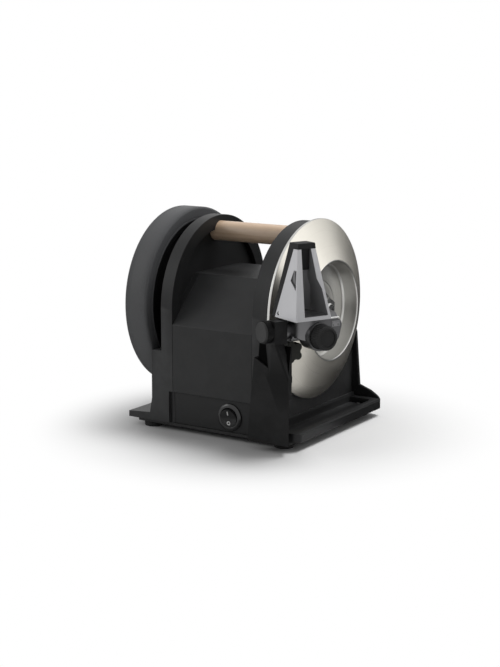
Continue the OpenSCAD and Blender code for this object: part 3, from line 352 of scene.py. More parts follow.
def round_tangent(tree, shader):
    """Turns the brushed highlight round the spindle."""
    spoke = wire(tree, "VectorMath", {0: object_place(tree), 1: tuple(AXLE)}, operation="SUBTRACT")
    around = wire(tree, "VectorMath", {0: (1.0, 0.0, 0.0), 1: spoke.outputs[0]},
                  operation="CROSS_PRODUCT")
    unit = wire(tree, "VectorMath", {0: around.outputs[0]}, operation="NORMALIZE")
    tree.links.new(unit.outputs[0], shader.inputs["Tangent"])


def turned_steel(name, colour, rough, brushed, strength, scale=3000.0, grit=0.0):
    """Steel turned on a lathe about the spindle; grit above zero adds a fine abrasive coat."""
    def build(tree, shader):
        rings = placed(tree, turning_marks(), {"Scale": scale})
        tone = placed(tree, tone_drift(), {"Color": rgba(colour), "Scale": 14.0, "Amount": 0.03})
        speck = placed(tree, moulded_grain(), {"Scale": 5200.0})
        streak = remap(tree, rings["Height"], 0.25, 0.75, 0.96, 1.04)
        fed(tree, shader, "Base Color", tinted(tree, tone["Color"], streak))
        fed(tree, shader, "Metallic", 1.0 - 0.4 * grit)
        fed(tree, shader, "Roughness", mottled(tree, rings["Height"], rough - 0.03, rough + 0.04))
        fed(tree, shader, "Anisotropic", brushed)
        height = math_node(tree, "MULTIPLY_ADD", speck["Height"], grit, rings["Height"])
        bumped(tree, shader, height, strength, 0.05 * MM)
        round_tangent(tree, shader)
    return material(name, build)


def casting():
    return sprayed("Black casting", colours().casting, rough=0.45, scale=1300.0, strength=0.22,
                   drift=0.06, edge_highlight=0.6)


def cover_paint():
    tone = [c * 1.04 for c in colours().casting]
    return sprayed("Black cover", tone, rough=0.46, scale=1300.0, strength=0.2, drift=0.05,
                   edge_highlight=0.5)


def plastic():
    return sprayed("Black plastic", (0.005, 0.005, 0.0052), rough=0.46, scale=1700.0,
                   strength=0.2, drift=0.06, edge_highlight=0.35, sheen=0.11)


# Near-black finish that paints shadow onto faces that lie in shade.
def painted_shadow_black():
    return sprayed("Painted shadow black", (0.0022, 0.0022, 0.0022), rough=0.6, scale=1700.0, strength=0.2,
                   drift=0.06, edge_highlight=0.0, sheen=0.02)


def cap_plastic():
    return sprayed("Cap plastic", (0.016, 0.016, 0.016), rough=0.5, scale=2200.0, strength=0.2,
                   drift=0.06, edge_highlight=0.35, sheen=0.34)


def knob_plastic():
    return sprayed("Knob plastic", (0.01, 0.01, 0.0102), rough=0.52, scale=2200.0, strength=0.25,
                   drift=0.06, edge_highlight=0.35, sheen=0.22)


def clamp_plastic():
    return sprayed("Clamp plastic", (0.015, 0.0155, 0.0125), rough=0.5, scale=2000.0,
                   strength=0.22, drift=0.08, edge_highlight=0.4, sheen=0.25)


def foot_rubber():
    return sprayed("Foot rubber", (0.016, 0.016, 0.016), rough=0.8, scale=900.0, strength=0.4,
                   drift=0.15)


def pad_rubber():
    return sprayed("Pad rubber", (0.0085, 0.0085, 0.009), rough=0.55, scale=2600.0, strength=0.15,
                   drift=0.05, edge_highlight=0.12, sheen=0.2)


def nylon():
    return sprayed("Gear nylon", (0.66, 0.645, 0.56), rough=0.42, scale=1500.0, strength=0.1,
                   drift=0.03)


def white_plastic():
    return sprayed("White plastic", (0.62, 0.61, 0.57), rough=0.4, scale=1400.0, strength=0.12,
                   drift=0.03)


def zinc():
    return satin_metal("Zinc plate", (0.56, 0.565, 0.57), rough=0.3, grain=1100.0, strength=0.12,
                       drift=0.1)


def screw_steel():
    return satin_metal("Screw steel", (0.5, 0.5, 0.49), rough=0.28, grain=2400.0, strength=0.06,
                       drift=0.06)


def guide_metal():
    return satin_metal("Guide metal", colours().silver, rough=0.4, grain=2600.0, strength=0.1,
                       drift=0.03)


# Painted shade: the guide's metal at a third of its tone, for the arm, its lug and the notch in the
# guide's cheek.
def guide_metal_shaded():
    return satin_metal("Guide metal, painted shade", [c * 0.32 for c in colours().silver], rough=0.4, grain=2400.0,
                       strength=0.12, drift=0.05)


def plate_metal():
    return satin_metal("Plate metal", [c * 0.62 for c in colours().silver], rough=0.4,
                       grain=2400.0, strength=0.1, drift=0.04)


# Painted shade: a darker copy of the guide's metal for the faces inside its hollow.
def painted_shade_inside():
    return sprayed("Guide inside, painted shade", [c * 0.42 for c in colours().silver], rough=0.5, scale=2400.0,
                   strength=0.12, drift=0.06)


def cone_steel():
    return turned_steel("Grinding face", colours().steel, rough=0.3, brushed=0.78, strength=0.05,
                        scale=3600.0, grit=0.25)


def recess_steel():
    return turned_steel("Wheel steel", (0.55, 0.545, 0.525), rough=0.3, brushed=0.5,
                        strength=0.12, scale=2400.0)


def shaft_steel():
    return turned_steel("Ground steel", (0.6, 0.6, 0.59), rough=0.22, brushed=0.4, strength=0.06,
                        scale=5200.0)


def switch_gloss():
    """Glossy moulded plastic of the switch."""
    def build(tree, shader):
        black = rgba((0.012, 0.012, 0.0125))
        tone = placed(tree, tone_drift(), {"Color": black, "Scale": 60.0, "Amount": 0.1})
        grain = placed(tree, moulded_grain(), {"Scale": 700.0})
        fed(tree, shader, "Base Color", tone["Color"])
        fed(tree, shader, "Roughness", mottled(tree, grain["Speckle"], 0.16, 0.24))
        bumped(tree, shader, grain["Height"], 0.04, 0.1 * MM)
    return material("Switch plastic", build)


def marks_and_highlight_paint():
    """White print of the switch's marks, and the white of the strip on the guide's foot, a painted
    highlight.
    """
    def build(tree, shader):
        white = rgba((0.68, 0.68, 0.67))
        tone = placed(tree, tone_drift(), {"Color": white, "Scale": 400.0, "Amount": 0.06})
        grain = placed(tree, moulded_grain(), {"Scale": 3000.0})
        fed(tree, shader, "Base Color", tone["Color"])
        fed(tree, shader, "Roughness", mottled(tree, grain["Speckle"], 0.4, 0.55))
        bumped(tree, shader, grain["Height"], 0.1, 0.05 * MM)
    return material("White marks and highlight", build)


def figure_paint():
    """Dark fill of the engraved scale."""
    return sprayed("Scale ink", (0.012, 0.012, 0.012), rough=0.6, scale=3000.0, strength=0.1,
                   drift=0.05)


def honing_compound():
    """Dark honing compound with rings from dressing and a band rubbed by blades."""
    def build(tree, shader):
        rings = placed(tree, turning_marks(), {"Scale": 1500.0})
        grey = rgba(colours().compound)
        tone = placed(tree, tone_drift(), {"Color": grey, "Scale": 16.0, "Amount": 0.07})
        speck = placed(tree, moulded_grain(), {"Scale": 1900.0})
        across = wire(tree, "SeparateXYZ", {0: object_place(tree)}).outputs[0]
        middle = (BAND_LOW.x + BAND_HIGH.x) / 2
        away = math_node(tree, "ABSOLUTE", math_node(tree, "SUBTRACT", across, middle))
        # Here only wear: the middle of the band, where blades run, is darker and smoother.
        wear_and_highlight = remap(tree, away, 0.004, 0.0085, 0.92, 1.0)
        shade = tinted(tree, tone["Color"], mottled(tree, speck["Speckle"], 0.86, 1.15))
        shade = tinted(tree, shade, mottled(tree, rings["Height"], 0.95, 1.05))
        fed(tree, shader, "Base Color", tinted(tree, shade, wear_and_highlight))
        fed(tree, shader, "Roughness", remap(tree, wear_and_highlight, 0.92, 1.0, 0.56, 0.7))
        height = math_node(tree, "MULTIPLY_ADD", rings["Height"], 0.7, speck["Height"])
        bumped(tree, shader, height, 0.25, 0.12 * MM)
    return material("Honing compound", build)


def wood():
    """Pale oiled wood with its grain along the bar."""
    def build(tree, shader):
        where = object_place(tree)
        heart = (BAR_LOW + BAR_HIGH) / 2 + Vector((0, 0.021, -0.009))
        to_heart = {"Vector": where, "Location": (0, -heart.y, -heart.z)}
        moved = wire(tree, "Mapping", to_heart).outputs[0]
        bend = wire(tree, "TexNoise", {"Vector": moved, "Scale": 9.0, "Detail": 2.0})
        pushed = tinted(tree, bend.outputs["Color"], 0.006)
        bent = wire(tree, "VectorMath", {0: moved, 1: pushed}).outputs[0]
        stretch = wire(tree, "Mapping", {"Vector": bent, "Scale": (0.06, 1.0, 1.0)}).outputs[0]
        parts = wire(tree, "SeparateXYZ", {0: stretch}).outputs
        radius = hypotenuse(tree, parts[1], parts[2])
        year = math_node(tree, "FRACT", math_node(tree, "MULTIPLY", radius, 420.0))
        late = remap(tree, year, 0.35, 1.0, 0.0, 1.0)
        fibres = {"Vector": stretch, "Scale": 900.0, "Detail": 5.0, "Roughness": 0.65}
        streak = wire(tree, "TexNoise", fibres).outputs["Fac"]
        long_way = wire(tree, "Mapping", {"Vector": where, "Scale": (0.05, 1.0, 1.0)}).outputs[0]
        pores = wire(tree, "TexNoise", {"Vector": long_way, "Scale": 3800.0, "Detail": 2.0})
        pore = remap(tree, pores.outputs["Fac"], 0.62, 0.72, 0.0, 1.0)
        light = colours().wood
        dark = rgba((light[0] * 0.74, light[1] * 0.68, light[2] * 0.62))
        shade = blended(tree, math_node(tree, "MULTIPLY", late, 0.55), rgba(light), dark)
        shade = blended(tree, remap(tree, streak, 0.4, 0.75, 0.0, 0.35), shade, dark)
        shade = tinted(tree, shade, remap(tree, pore, 0.0, 1.0, 1.0, 0.78))
        drift = placed(tree, tone_drift(), {"Color": shade, "Scale": 18.0, "Amount": 0.05})
        fed(tree, shader, "Base Color", drift["Color"])
        fed(tree, shader, "Roughness", mottled(tree, streak, 0.3, 0.44))
        fed(tree, shader, "Coat Weight", 0.35)
        fed(tree, shader, "Coat Roughness", 0.3)
        bumped(tree, shader, math_node(tree, "SUBTRACT", streak, pore), 0.2, 0.1 * MM)
    return material("Pale wood", build)


def laminations():
    """Stack of thin motor plates, edge on."""
    def build(tree, shader):
        across = wire(tree, "SeparateXYZ", {0: object_place(tree)}).outputs[0]
        plate = math_node(tree, "FRACT", math_node(tree, "MULTIPLY", across, 1400.0))
        seam = remap(tree, plate, 0.75, 1.0, 1.0, 0.45)
        lacquer = rgba((0.3, 0.2, 0.13))
        tone = placed(tree, tone_drift(), {"Color": lacquer, "Scale": 60.0, "Amount": 0.15})
        fed(tree, shader, "Base Color", tinted(tree, tone["Color"], seam))
        fed(tree, shader, "Metallic", 0.6)
        fed(tree, shader, "Roughness", remap(tree, seam, 0.45, 1.0, 0.6, 0.4))
        bumped(tree, shader, seam, 0.3, 0.1 * MM)
    return material("Motor plates", build)


# Modelling

def flattened(piece):
    """Keeps the shading of broad faces flat up to their rounded edges."""
    normals = piece.modifiers.new("Normals", "WEIGHTED_NORMAL")
    normals.keep_sharp = True
    seen = piece.evaluated_get(bpy.context.evaluated_depsgraph_get())
    first = piece.data
    piece.data = bpy.data.meshes.new_from_object(seen)
    piece.modifiers.clear()
    bpy.data.meshes.remove(first)
    piece.data.name = piece.name


def shaped(name, bm, body, finishes, stands_for=(), sharp=32.0):
    """Makes a finished piece from a mesh under construction."""
    mesh = bpy.data.meshes.new(name)
    bm.to_mesh(mesh)
    bm.free()
    for finish in finishes:
        mesh.materials.append(finish)
    mesh.shade_smooth()
    mesh.set_sharp_from_angle(angle=math.radians(sharp))
    piece = bpy.data.objects.new(name, mesh)
    bpy.context.scene.collection.objects.link(piece)
    flattened(piece)
    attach(piece, body)
    if stands_for:
        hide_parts(*stands_for)
    return piece


def eased(bm, width, segments, angle, seam=None):
    """Rounds every edge sharper than the angle, but for those in the plane of a seam along X."""
    least = math.radians(angle)
    edges = [e for e in bm.edges if len(e.link_faces) == 2 and e.calc_face_angle(0.0) > least]
    if seam is not None:
        edges = [e for e in edges if any(abs(v.co.x - seam) > 0.01 * MM for v in e.verts)]
    if width > 0 and edges:
        bmesh.ops.bevel(bm, geom=edges, offset=width, offset_type="OFFSET", affect="EDGES",
                        segments=segments, profile=0.5, clamp_overlap=True, material=-1)


def body_of(node):
    """The body that a solid rides on."""
    return frame["nodes"][node]["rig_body"]


def eased_copy(node, finish, width, segments=2, angle=30.0, seam=None):
    """A solid's own form with its edges rounded, standing for it."""
    bm = bmesh.new()
    bm.from_mesh(frame["nodes"][node].data)
    bmesh.ops.remove_doubles(bm, verts=bm.verts, dist=4e-6)
    bmesh.ops.dissolve_limit(bm, angle_limit=math.radians(0.4), verts=bm.verts, edges=bm.edges)
    eased(bm, width, segments, angle, seam)
    return shaped(node + "_finished", bm, body_of(node), [finish], (node,))


def painted(node, finish):
    """A solid kept as it is, with its finish."""
    mesh = frame["nodes"][node].data
    mesh.materials.clear()
    mesh.materials.append(finish)


def turned(profile, centre, axis=Vector((1, 0, 0)), steps=128):
    """A form spun about an axis from closed points, each a radius and a place along the axis."""
    side = axis.orthogonal().normalized()
    bm = bmesh.new()
    points = [bm.verts.new(centre + axis * along + side * radius) for radius, along in profile]
    edges = [bm.edges.new((points[i], points[(i + 1) % len(points)])) for i in range(len(points))]
    bmesh.ops.spin(bm, geom=points + edges, cent=centre, axis=axis, dvec=(0, 0, 0),
                   angle=2 * math.pi, steps=steps, use_merge=True, use_duplicate=False)
    bmesh.ops.remove_doubles(bm, verts=bm.verts, dist=1e-6)
    bmesh.ops.dissolve_degenerate(bm, dist=1e-7, edges=bm.edges)
    bmesh.ops.recalc_face_normals(bm, faces=bm.faces)
    return bm


def slab(bm, low, high, matrix=Matrix.Identity(4)):
    """A small block between two corners, placed by a matrix."""
    low, high = Vector(low), Vector(high)
    made = bmesh.ops.create_cube(bm, size=1.0)["verts"]
    bmesh.ops.scale(bm, vec=high - low, verts=made)
    bmesh.ops.translate(bm, vec=(low + high) / 2, verts=made)
    bmesh.ops.transform(bm, matrix=matrix, verts=made)
    return made


def ring(bm, inner, outer, depth, matrix, steps=40):
    """A flat ring with a thickness, placed by a matrix."""
    others = set(bm.verts)
    corners = [(inner, 0, 0), (outer, 0, 0), (outer, 0, depth), (inner, 0, depth)]
    points = [bm.verts.new(c) for c in corners]
    edges = [bm.edges.new((points[i], points[(i + 1) % 4])) for i in range(4)]
    bmesh.ops.spin(bm, geom=points + edges, cent=(0, 0, 0), axis=(0, 0, 1), dvec=(0, 0, 0),
                   angle=2 * math.pi, steps=steps, use_merge=True, use_duplicate=False)
    bmesh.ops.transform(bm, matrix=matrix, verts=[v for v in bm.verts if v not in others])


class SHARPENER_OT_castings(bpy.types.Operator):
    """Finish the two side frames and the covers between them"""

    bl_idname = "sharpener.castings"
    bl_label = "Frames and covers"

    def execute(self, context):
        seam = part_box("dust_tray")[0].x
        for node in ("left_frame", "right_frame", "dust_tray"):
            eased_copy(node, casting(), sizes().casting_round, 3, seam=seam)
        for node in ("front_cover", "rear_cover"):
            eased_copy(node, cover_paint(), sizes().cover_round, 2)
        return {"FINISHED"}


class SHARPENER_OT_base(bpy.types.Operator):
    """Finish the floor plate, the feet and the screws"""

    bl_idname = "sharpener.base"
    bl_label = "Base and screws"

    def execute(self, context):
        painted("floor_plate", cover_paint())
        for corner in ("front_left", "front_right", "rear_left", "rear_right"):
            low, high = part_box("foot_" + corner)
            centre = Vector(((low.x + high.x) / 2, (low.y + high.y) / 2, 0))
            r, h = (high.x - low.x) / 2, high.z
            bore, seat_r, seat = 2.1 * MM, 4.2 * MM, 2.2 * MM
            profile = [
                (bore, h), (bore, seat), (seat_r, seat), (seat_r, 0), (r - 1.2 * MM, 0),
                (r - 0.35 * MM, 0.35 * MM), (r, 1.2 * MM), (r - 0.25 * MM, 1.9 * MM),
                (r - 0.25 * MM, 2.2 * MM), (r, 2.7 * MM), (r - 0.5 * MM, h),
            ]
            bm = turned(profile, centre, Vector((0, 0, 1)), 64)
            shaped("foot_" + corner + "_rubber", bm, "frame",
                   [foot_rubber()], ("foot_" + corner,))
        for node in ("foot_screws", "cover_screws", "handle_screws", "post_screws"):
            painted(node, screw_steel())
        return {"FINISHED"}


class SHARPENER_OT_bar(bpy.types.Operator):
    """Turn the wooden carrying bar"""

    bl_idname = "sharpener.bar"
    bl_label = "Carrying bar"

    def execute(self, context):
        centre = (BAR_LOW + BAR_HIGH) / 2
        half = (BAR_HIGH.x - BAR_LOW.x) / 2
        r = (BAR_HIGH.z - BAR_LOW.z) / 2
        swell = sizes().bar_swell
        end = [(0.0, half), (r - 0.8 * MM, half), (r - 0.25 * MM, half - 0.25 * MM),
               (r, half - 0.9 * MM)]
        profile = [(radius, -along) for radius, along in end]
        profile += [(r + swell * (1 - (t / 4) ** 2), half * t / 5) for t in range(-4, 5)]
        profile += reversed(end)
        bm = turned(profile, centre, steps=96)
        shaped("carrying_bar", bm, "frame", [wood()], ("handle_bar",))
        return {"FINISHED"}


class SHARPENER_OT_honing_wheel(bpy.types.Operator):
    """Turn the honing wheel's band and hub"""

    bl_idname = "sharpener.honing_wheel"
    bl_label = "Honing wheel"

    def execute(self, context):
        hub_low, hub_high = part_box("honing_hub")
        r = (BAND_HIGH.z - BAND_LOW.z) / 2
        inner = (hub_high.z - hub_low.z) / 2
        x0, x1 = BAND_LOW.x, BAND_HIGH.x
        groove = [(inner, 0.0), (inner + 1.2 * MM, 0.0), (inner + 1.6 * MM, 0.35 * MM),
                  (inner + 2 * MM, 0.0)]
        round_r = 2.2 * MM
        arc = [(round_r - round_r * math.cos(a), r - round_r + round_r * math.sin(a))
               for a in [math.radians(15 * i) for i in range(7)]]
        profile = [(radius, x0 + depth) for radius, depth in groove]
        profile += [(radius, x0 + depth) for depth, radius in arc]
        profile += [(r, (x0 + x1) / 2)]
        profile += [(radius, x1 - depth) for depth, radius in reversed(arc)]
        profile += [(radius, x1 - depth) for radius, depth in reversed(groove)]
        centre = Vector((0, AXLE.y, AXLE.z))
        shaped("honing_band_turned", turned(profile, centre, steps=192), "spindle",
               [honing_compound()], ("honing_band",))
        eased_copy("honing_hub", plastic(), 0.5 * MM, 2)
        return {"FINISHED"}


class SHARPENER_OT_grinding_wheel(bpy.types.Operator):
    """Turn the grinding wheel with its cone, recess and rim"""

    bl_idname = "sharpener.grinding_wheel"
    bl_label = "Grinding wheel"

    def execute(self, context):
        outline = self.outline()
        bm = turned(outline, Vector((0, AXLE.y, AXLE.z)), steps=256)
        eased(bm, 0.25 * MM, 2, 20.0)
        cone_r = max(point[0] for point in outline) - 34.2 * MM
        for face in bm.faces:
            middle = face.calc_center_median() - AXLE
            radius = math.hypot(middle.y, middle.z)
            outwards = (face.normal.y * middle.y + face.normal.z * middle.z) / max(radius, 1e-9)
            on_cone = radius > cone_r and face.normal.x > 0.5 and 0.3 < outwards < 0.6
            face.material_index = 0 if on_cone else 1
        shaped("grinding_wheel", bm, "spindle", [cone_steel(), recess_steel()],
               ("diamond_wheel",), 25.0)
        return {"FINISHED"}

    def outline(self):
        """The wheel's half outline: its solid's points, taken by place along the spindle."""
        x0, x1 = WHEEL_LOW.x, WHEEL_HIGH.x
        r = (WHEEL_HIGH.z - WHEEL_LOW.z) / 2
        hub_r = 6.1 * MM
        edge = x0 + 3 * MM
        floor = x1 + 0.2 * MM - 14 * MM
        back = floor - 5 * MM
        back_face = [(hub_r, back), (42.3 * MM, back), (45.3 * MM, x1 - 8.6 * MM),
                     (r - 9 * MM, edge - 1.4 * MM), (r - 7 * MM, x0)]
        rim = [(r - 0.6 * MM, x0), (r, x0 + 0.6 * MM), (r, edge - 0.4 * MM),
               (r - 0.9 * MM, edge + 0.03 * MM)]
        inner_edge = [(42.6 * MM, x1 - 0.32 * MM), (41.9 * MM, x1), (40.9 * MM, x1),
                      (40.3 * MM, x1 - 0.8 * MM)]
        recess = [(39.7 * MM, floor + 1.4 * MM), (38.3 * MM, floor), (24 * MM, floor),
                  (23.6 * MM, floor - 0.3 * MM), (22.4 * MM, floor - 0.3 * MM), (22 * MM, floor),
                  (hub_r, floor)]
        return back_face + rim + inner_edge + recess


class SHARPENER_OT_spindle(bpy.types.Operator):
    """Finish the spindle with its nuts, washers, flanges, bearings and gears"""

    bl_idname = "sharpener.spindle"
    bl_label = "Spindle and gears"

    def execute(self, context):
        for node in ("main_shaft", "bearing_left", "bearing_right", "idler_pin", "motor_shaft",
                     "motor_pinion", "wheel_flange", "hone_flange"):
            painted(node, shaft_steel())
        for node in ("wheel_nut", "hone_nut", "wheel_washer", "hone_washer"):
            eased_copy(node, screw_steel(), 0.45 * MM, 2)
        for node in ("drive_gear", "idler_gear"):
            painted(node, nylon())
        painted("gear_plate", zinc())
        painted("gear_posts", screw_steel())
        return {"FINISHED"}


class SHARPENER_OT_motor(bpy.types.Operator):
    """Finish the motor and the electrical pieces"""

    bl_idname = "sharpener.motor"
    bl_label = "Motor and electrics"

    def execute(self, context):
        for node, finish in (
                ("motor_can", zinc()), ("capacitor_clip", zinc()), ("motor_stator", laminations()),
                ("motor_rotor", laminations()), ("motor_fan", plastic()), ("gland_nut", plastic()),
                ("capacitor", white_plastic()), ("terminal_block", white_plastic())):
            painted(node, finish)
        eased_copy("cord_gland", plastic(), 0.4 * MM, 2)
        return {"FINISHED"}


class SHARPENER_OT_switch(bpy.types.Operator):
    """Finish the round rocker switch with its plain marks"""

    bl_idname = "sharpener.switch"
    bl_label = "Switch"

    def execute(self, context):
        eased_copy("switch_housing", switch_gloss(), 0.35 * MM, 3)
        eased_copy("switch_rocker", switch_gloss(), 0.3 * MM, 3)
        tip = Matrix.Translation(ROCKER) @ Matrix.Rotation(math.radians(10), 4, "X")
        out, apart, slope, thick = 2.37 * MM, 4.3 * MM, 7.8, 0.12 * MM
        upper, lower = [
            tip @ Matrix.Translation((0, -out, apart * side))
            @ Matrix.Rotation(math.radians(90 + slope * side), 4, "X") for side in (1, -1)]
        h = sizes().mark_height
        bm = bmesh.new()
        slab(bm, (-0.42 * MM, -h / 2, 0), (0.42 * MM, h / 2, thick), upper)
        ring(bm, h / 2 - 0.75 * MM, h / 2, thick, lower)
        bmesh.ops.recalc_face_normals(bm, faces=bm.faces)
        shaped("switch_marks", bm, "rocker", [marks_and_highlight_paint()])
        return {"FINISHED"}


class SHARPENER_OT_post(bpy.types.Operator):
    """Finish the guide's post, rod and cap, with painted shadow on the faces under the post's head"""

    bl_idname = "sharpener.post"
    bl_label = "Guide post"

    def execute(self, context):
        post = eased_copy("guide_post", plastic(), 0.6 * MM, 3)
        post.data.materials.append(painted_shadow_black())
        # Painted shadow: the sloped shoulder and the left faces under the head take the near-black
        # finish.
        hip_low, hip_high = 60 * MM, 93 * MM
        for face in post.data.polygons:
            x, y, z = face.normal
            slant = 0.1 < z < 0.3 and y < -0.9 and abs(x) < 0.1
            if hip_low < face.center.z < hip_high and (slant or x < -0.5):
                face.material_index = 1
        eased_copy("rod_cap", cap_plastic(), 0.3 * MM, 2)
        painted("guide_rod", shaft_steel())
        return {"FINISHED"}


class SHARPENER_OT_arm(bpy.types.Operator):
    """Finish the guide's arm, its scale and the star knob below"""

    bl_idname = "sharpener.arm"
    bl_label = "Guide arm"

    def execute(self, context):
        # The arm and the lug take the guide's metal darkened as painted shade.
        eased_copy("guide_arm", guide_metal_shaded(), sizes().guide_round, 2)
        eased_copy("star_lug", guide_metal_shaded(), 0.3 * MM, 2)
        eased_copy("star_knob", clamp_plastic(), 0.5 * MM, 3)
        painted("star_screw", screw_steel())
        painted("tilt_pin", shaft_steel())
        eased_copy("scale_plate", plate_metal(), 0.08 * MM, 1)
        self.scale()
        return {"FINISHED"}

    def scale(self):
        """Ticks and plain figures on the scale plate."""
        low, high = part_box("scale_plate")
        middle = (low + high) / 2
        mesh = frame["nodes"]["scale_plate"].data
        reach = max((v.co - middle).dot(KNOB_AXIS) for v in mesh.vertices)
        face = Matrix.Translation(middle + KNOB_AXIS * (reach + 0.01 * MM))
        turn = Matrix((GUIDE_ALONG, Vector((0, 0, 1)), KNOB_AXIS)).transposed().to_4x4()
        place = face @ turn
        bm = bmesh.new()
        top, half, depth = 1.75 * MM, 0.07 * MM, 0.03 * MM
        for i in range(-3, 4):
            x = i * MM
            tall = 1.1 * MM if i % 3 == 0 else 0.6 * MM
            slab(bm, (x - half, top - tall, 0), (x + half, top, depth), place)
        shaped("scale_ticks", bm, "arm", [figure_paint()])
        for text, x in (("8", -2.6), ("20", 2.2)):
            curve = bpy.data.curves.new("figure_" + text, "FONT")
            curve.body = text
            curve.size = 1.9 * MM
            curve.align_x = "CENTER"
            curve.extrude = 0.015 * MM
            holder = bpy.data.objects.new("figure_" + text, curve)
            bpy.context.scene.collection.objects.link(holder)
            bpy.context.view_layer.update()
            mesh = bpy.data.meshes.new_from_object(holder)
            bm = bmesh.new()
            bm.from_mesh(mesh)
            bpy.data.objects.remove(holder)
            bpy.data.curves.remove(curve)
            bpy.data.meshes.remove(mesh)
            below = place @ Matrix.Translation((x * MM, -1.55 * MM, 0))
            bmesh.ops.transform(bm, matrix=below, verts=bm.verts)
            shaped("scale_figure_" + text, bm, "arm", [figure_paint()])


class SHARPENER_OT_guide(bpy.types.Operator):
    """Finish the leaning knife guide and its pad"""

    bl_idname = "sharpener.guide"
    bl_label = "Knife guide"

    def execute(self, context):
        piece = eased_copy("guide_frame", guide_metal(), sizes().guide_round, 2)
        self.paint_inside_shade(piece)
        eased_copy("guide_pad", pad_rubber(), 0.5 * MM, 2)
        self.painted_highlight_tab()
        return {"FINISHED"}

    def paint_inside_shade(self, piece):
        """Paints shade into the hollow of the guide and the notch in its cheek by giving them darker
        finishes.
        """
        mesh = piece.data
        mesh.materials.append(painted_shade_inside())
        mesh.materials.append(guide_metal_shaded())
        low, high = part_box("guide_frame")
        left_wall, right_wall, middle = 16 * MM, 12 * MM, 22.8 * MM
        for face in mesh.polygons:
            rise = (face.center.z - low.z) / (high.z - low.z)
            place = face.center - KNOB
            front = (1.8 - 8.6 * rise) * MM
            left_edge = (0.35 + 6.5 * rise) * MM
            along = place.dot(GUIDE_ALONG) + middle
            outwards, sideways = face.normal.dot(KNOB_AXIS), face.normal.dot(GUIDE_ALONG)
            floor = outwards > 0.3 and place.dot(KNOB_AXIS) < front - 1.2 * MM
            wall = sideways > 0.3 and along < left_wall or sideways < -0.3 and along > right_wall
            notch = sideways < -0.3 and left_edge < along < right_wall
            if 0.04 < rise < 0.99 and (floor or wall or notch):
                face.material_index = 2 if notch else 1

    def painted_highlight_tab(self):
        """White strip on the guide's foot above the scale, its white a painted highlight along that
        edge.
        """
        turn = Matrix((KNOB_AXIS, GUIDE_ALONG, Vector((0, 0, 1)))).transposed().to_4x4()
        bm = bmesh.new()
        slab(bm, (-1.8 * MM, 8.6 * MM, 12.8 * MM), (0.0, 19.1 * MM, 13.8 * MM),
             Matrix.Translation(KNOB) @ turn)
        eased(bm, 0.15 * MM, 2, 30.0)
        shaped("painted_highlight_tab", bm, "guide", [marks_and_highlight_paint()])


class SHARPENER_OT_knob(bpy.types.Operator):
    """Turn the angle knob with its grip grooves and pointer"""

    bl_idname = "sharpener.knob"
    bl_label = "Angle knob"

    def execute(self, context):
        mesh = frame["nodes"]["angle_knob"].data
        along = [(v.co - KNOB).dot(KNOB_AXIS) for v in mesh.vertices]
        radii = [(v.co - KNOB - KNOB_AXIS * a).length for v, a in zip(mesh.vertices, along)]
        x0, x1, r = min(along), max(along), max(radii)
        bore, bore_end = 3.1 * MM, x0 + 7.8 * MM
        side_wall = [(bore, x0), (r, x0), (r, x0 + 1.9 * MM), (r, x0 + 2.5 * MM),
                     (r, x1 - 1.8 * MM)]
        rim = [(r - 0.3 * MM, x1 - 0.9 * MM), (r - 0.9 * MM, x1 - 0.3 * MM), (r - 1.8 * MM, x1),
               (r - 2.9 * MM, x1)]
        face = [(r - 3.2 * MM, x1 - 0.6 * MM), (r - 3.6 * MM, x1 - 0.6 * MM),
                (r - 3.9 * MM, x1 - 0.35 * MM), (0.0, x1 - 0.3 * MM)]
        profile = side_wall + rim + face + [(0.0, bore_end), (bore, bore_end)]
        count = sizes().knob_grooves
        bm = turned(profile, KNOB, KNOB_AXIS, count * 4)
        side = KNOB_AXIS.orthogonal().normalized()
        other = KNOB_AXIS.cross(side)
        for vert in bm.verts:
            place = vert.co - KNOB
            a = place.dot(KNOB_AXIS)
            spoke = place - KNOB_AXIS * a
            if spoke.length < r - 1.2 * MM or a < x0 + 2.2 * MM:
                continue
            turn = math.atan2(spoke.dot(other), spoke.dot(side)) * count / (2 * math.pi)
            dip = (0.5 + 0.5 * math.cos(2 * math.pi * turn)) ** 2 * sizes().groove_depth
            vert.co -= spoke.normalized() * dip
        bmesh.ops.recalc_face_normals(bm, faces=bm.faces)
        shaped("angle_knob_turned", bm, "knob", [knob_plastic()],
               ("angle_knob",), 40.0)
        up = Vector((0, 0, 1))
        level = KNOB_AXIS.cross(up).normalized()
        place = Matrix((level, up, KNOB_AXIS)).transposed().to_4x4()
        bm = bmesh.new()
        slab(bm, (-0.35 * MM, 3.0 * MM, 0), (0.35 * MM, 5.6 * MM, 0.06 * MM),
             Matrix.Translation(KNOB + KNOB_AXIS * (x1 - 0.33 * MM)) @ place)
        shaped("angle_pointer", bm, "knob", [clamp_plastic()])
        painted("angle_cam", shaft_steel())
        return {"FINISHED"}


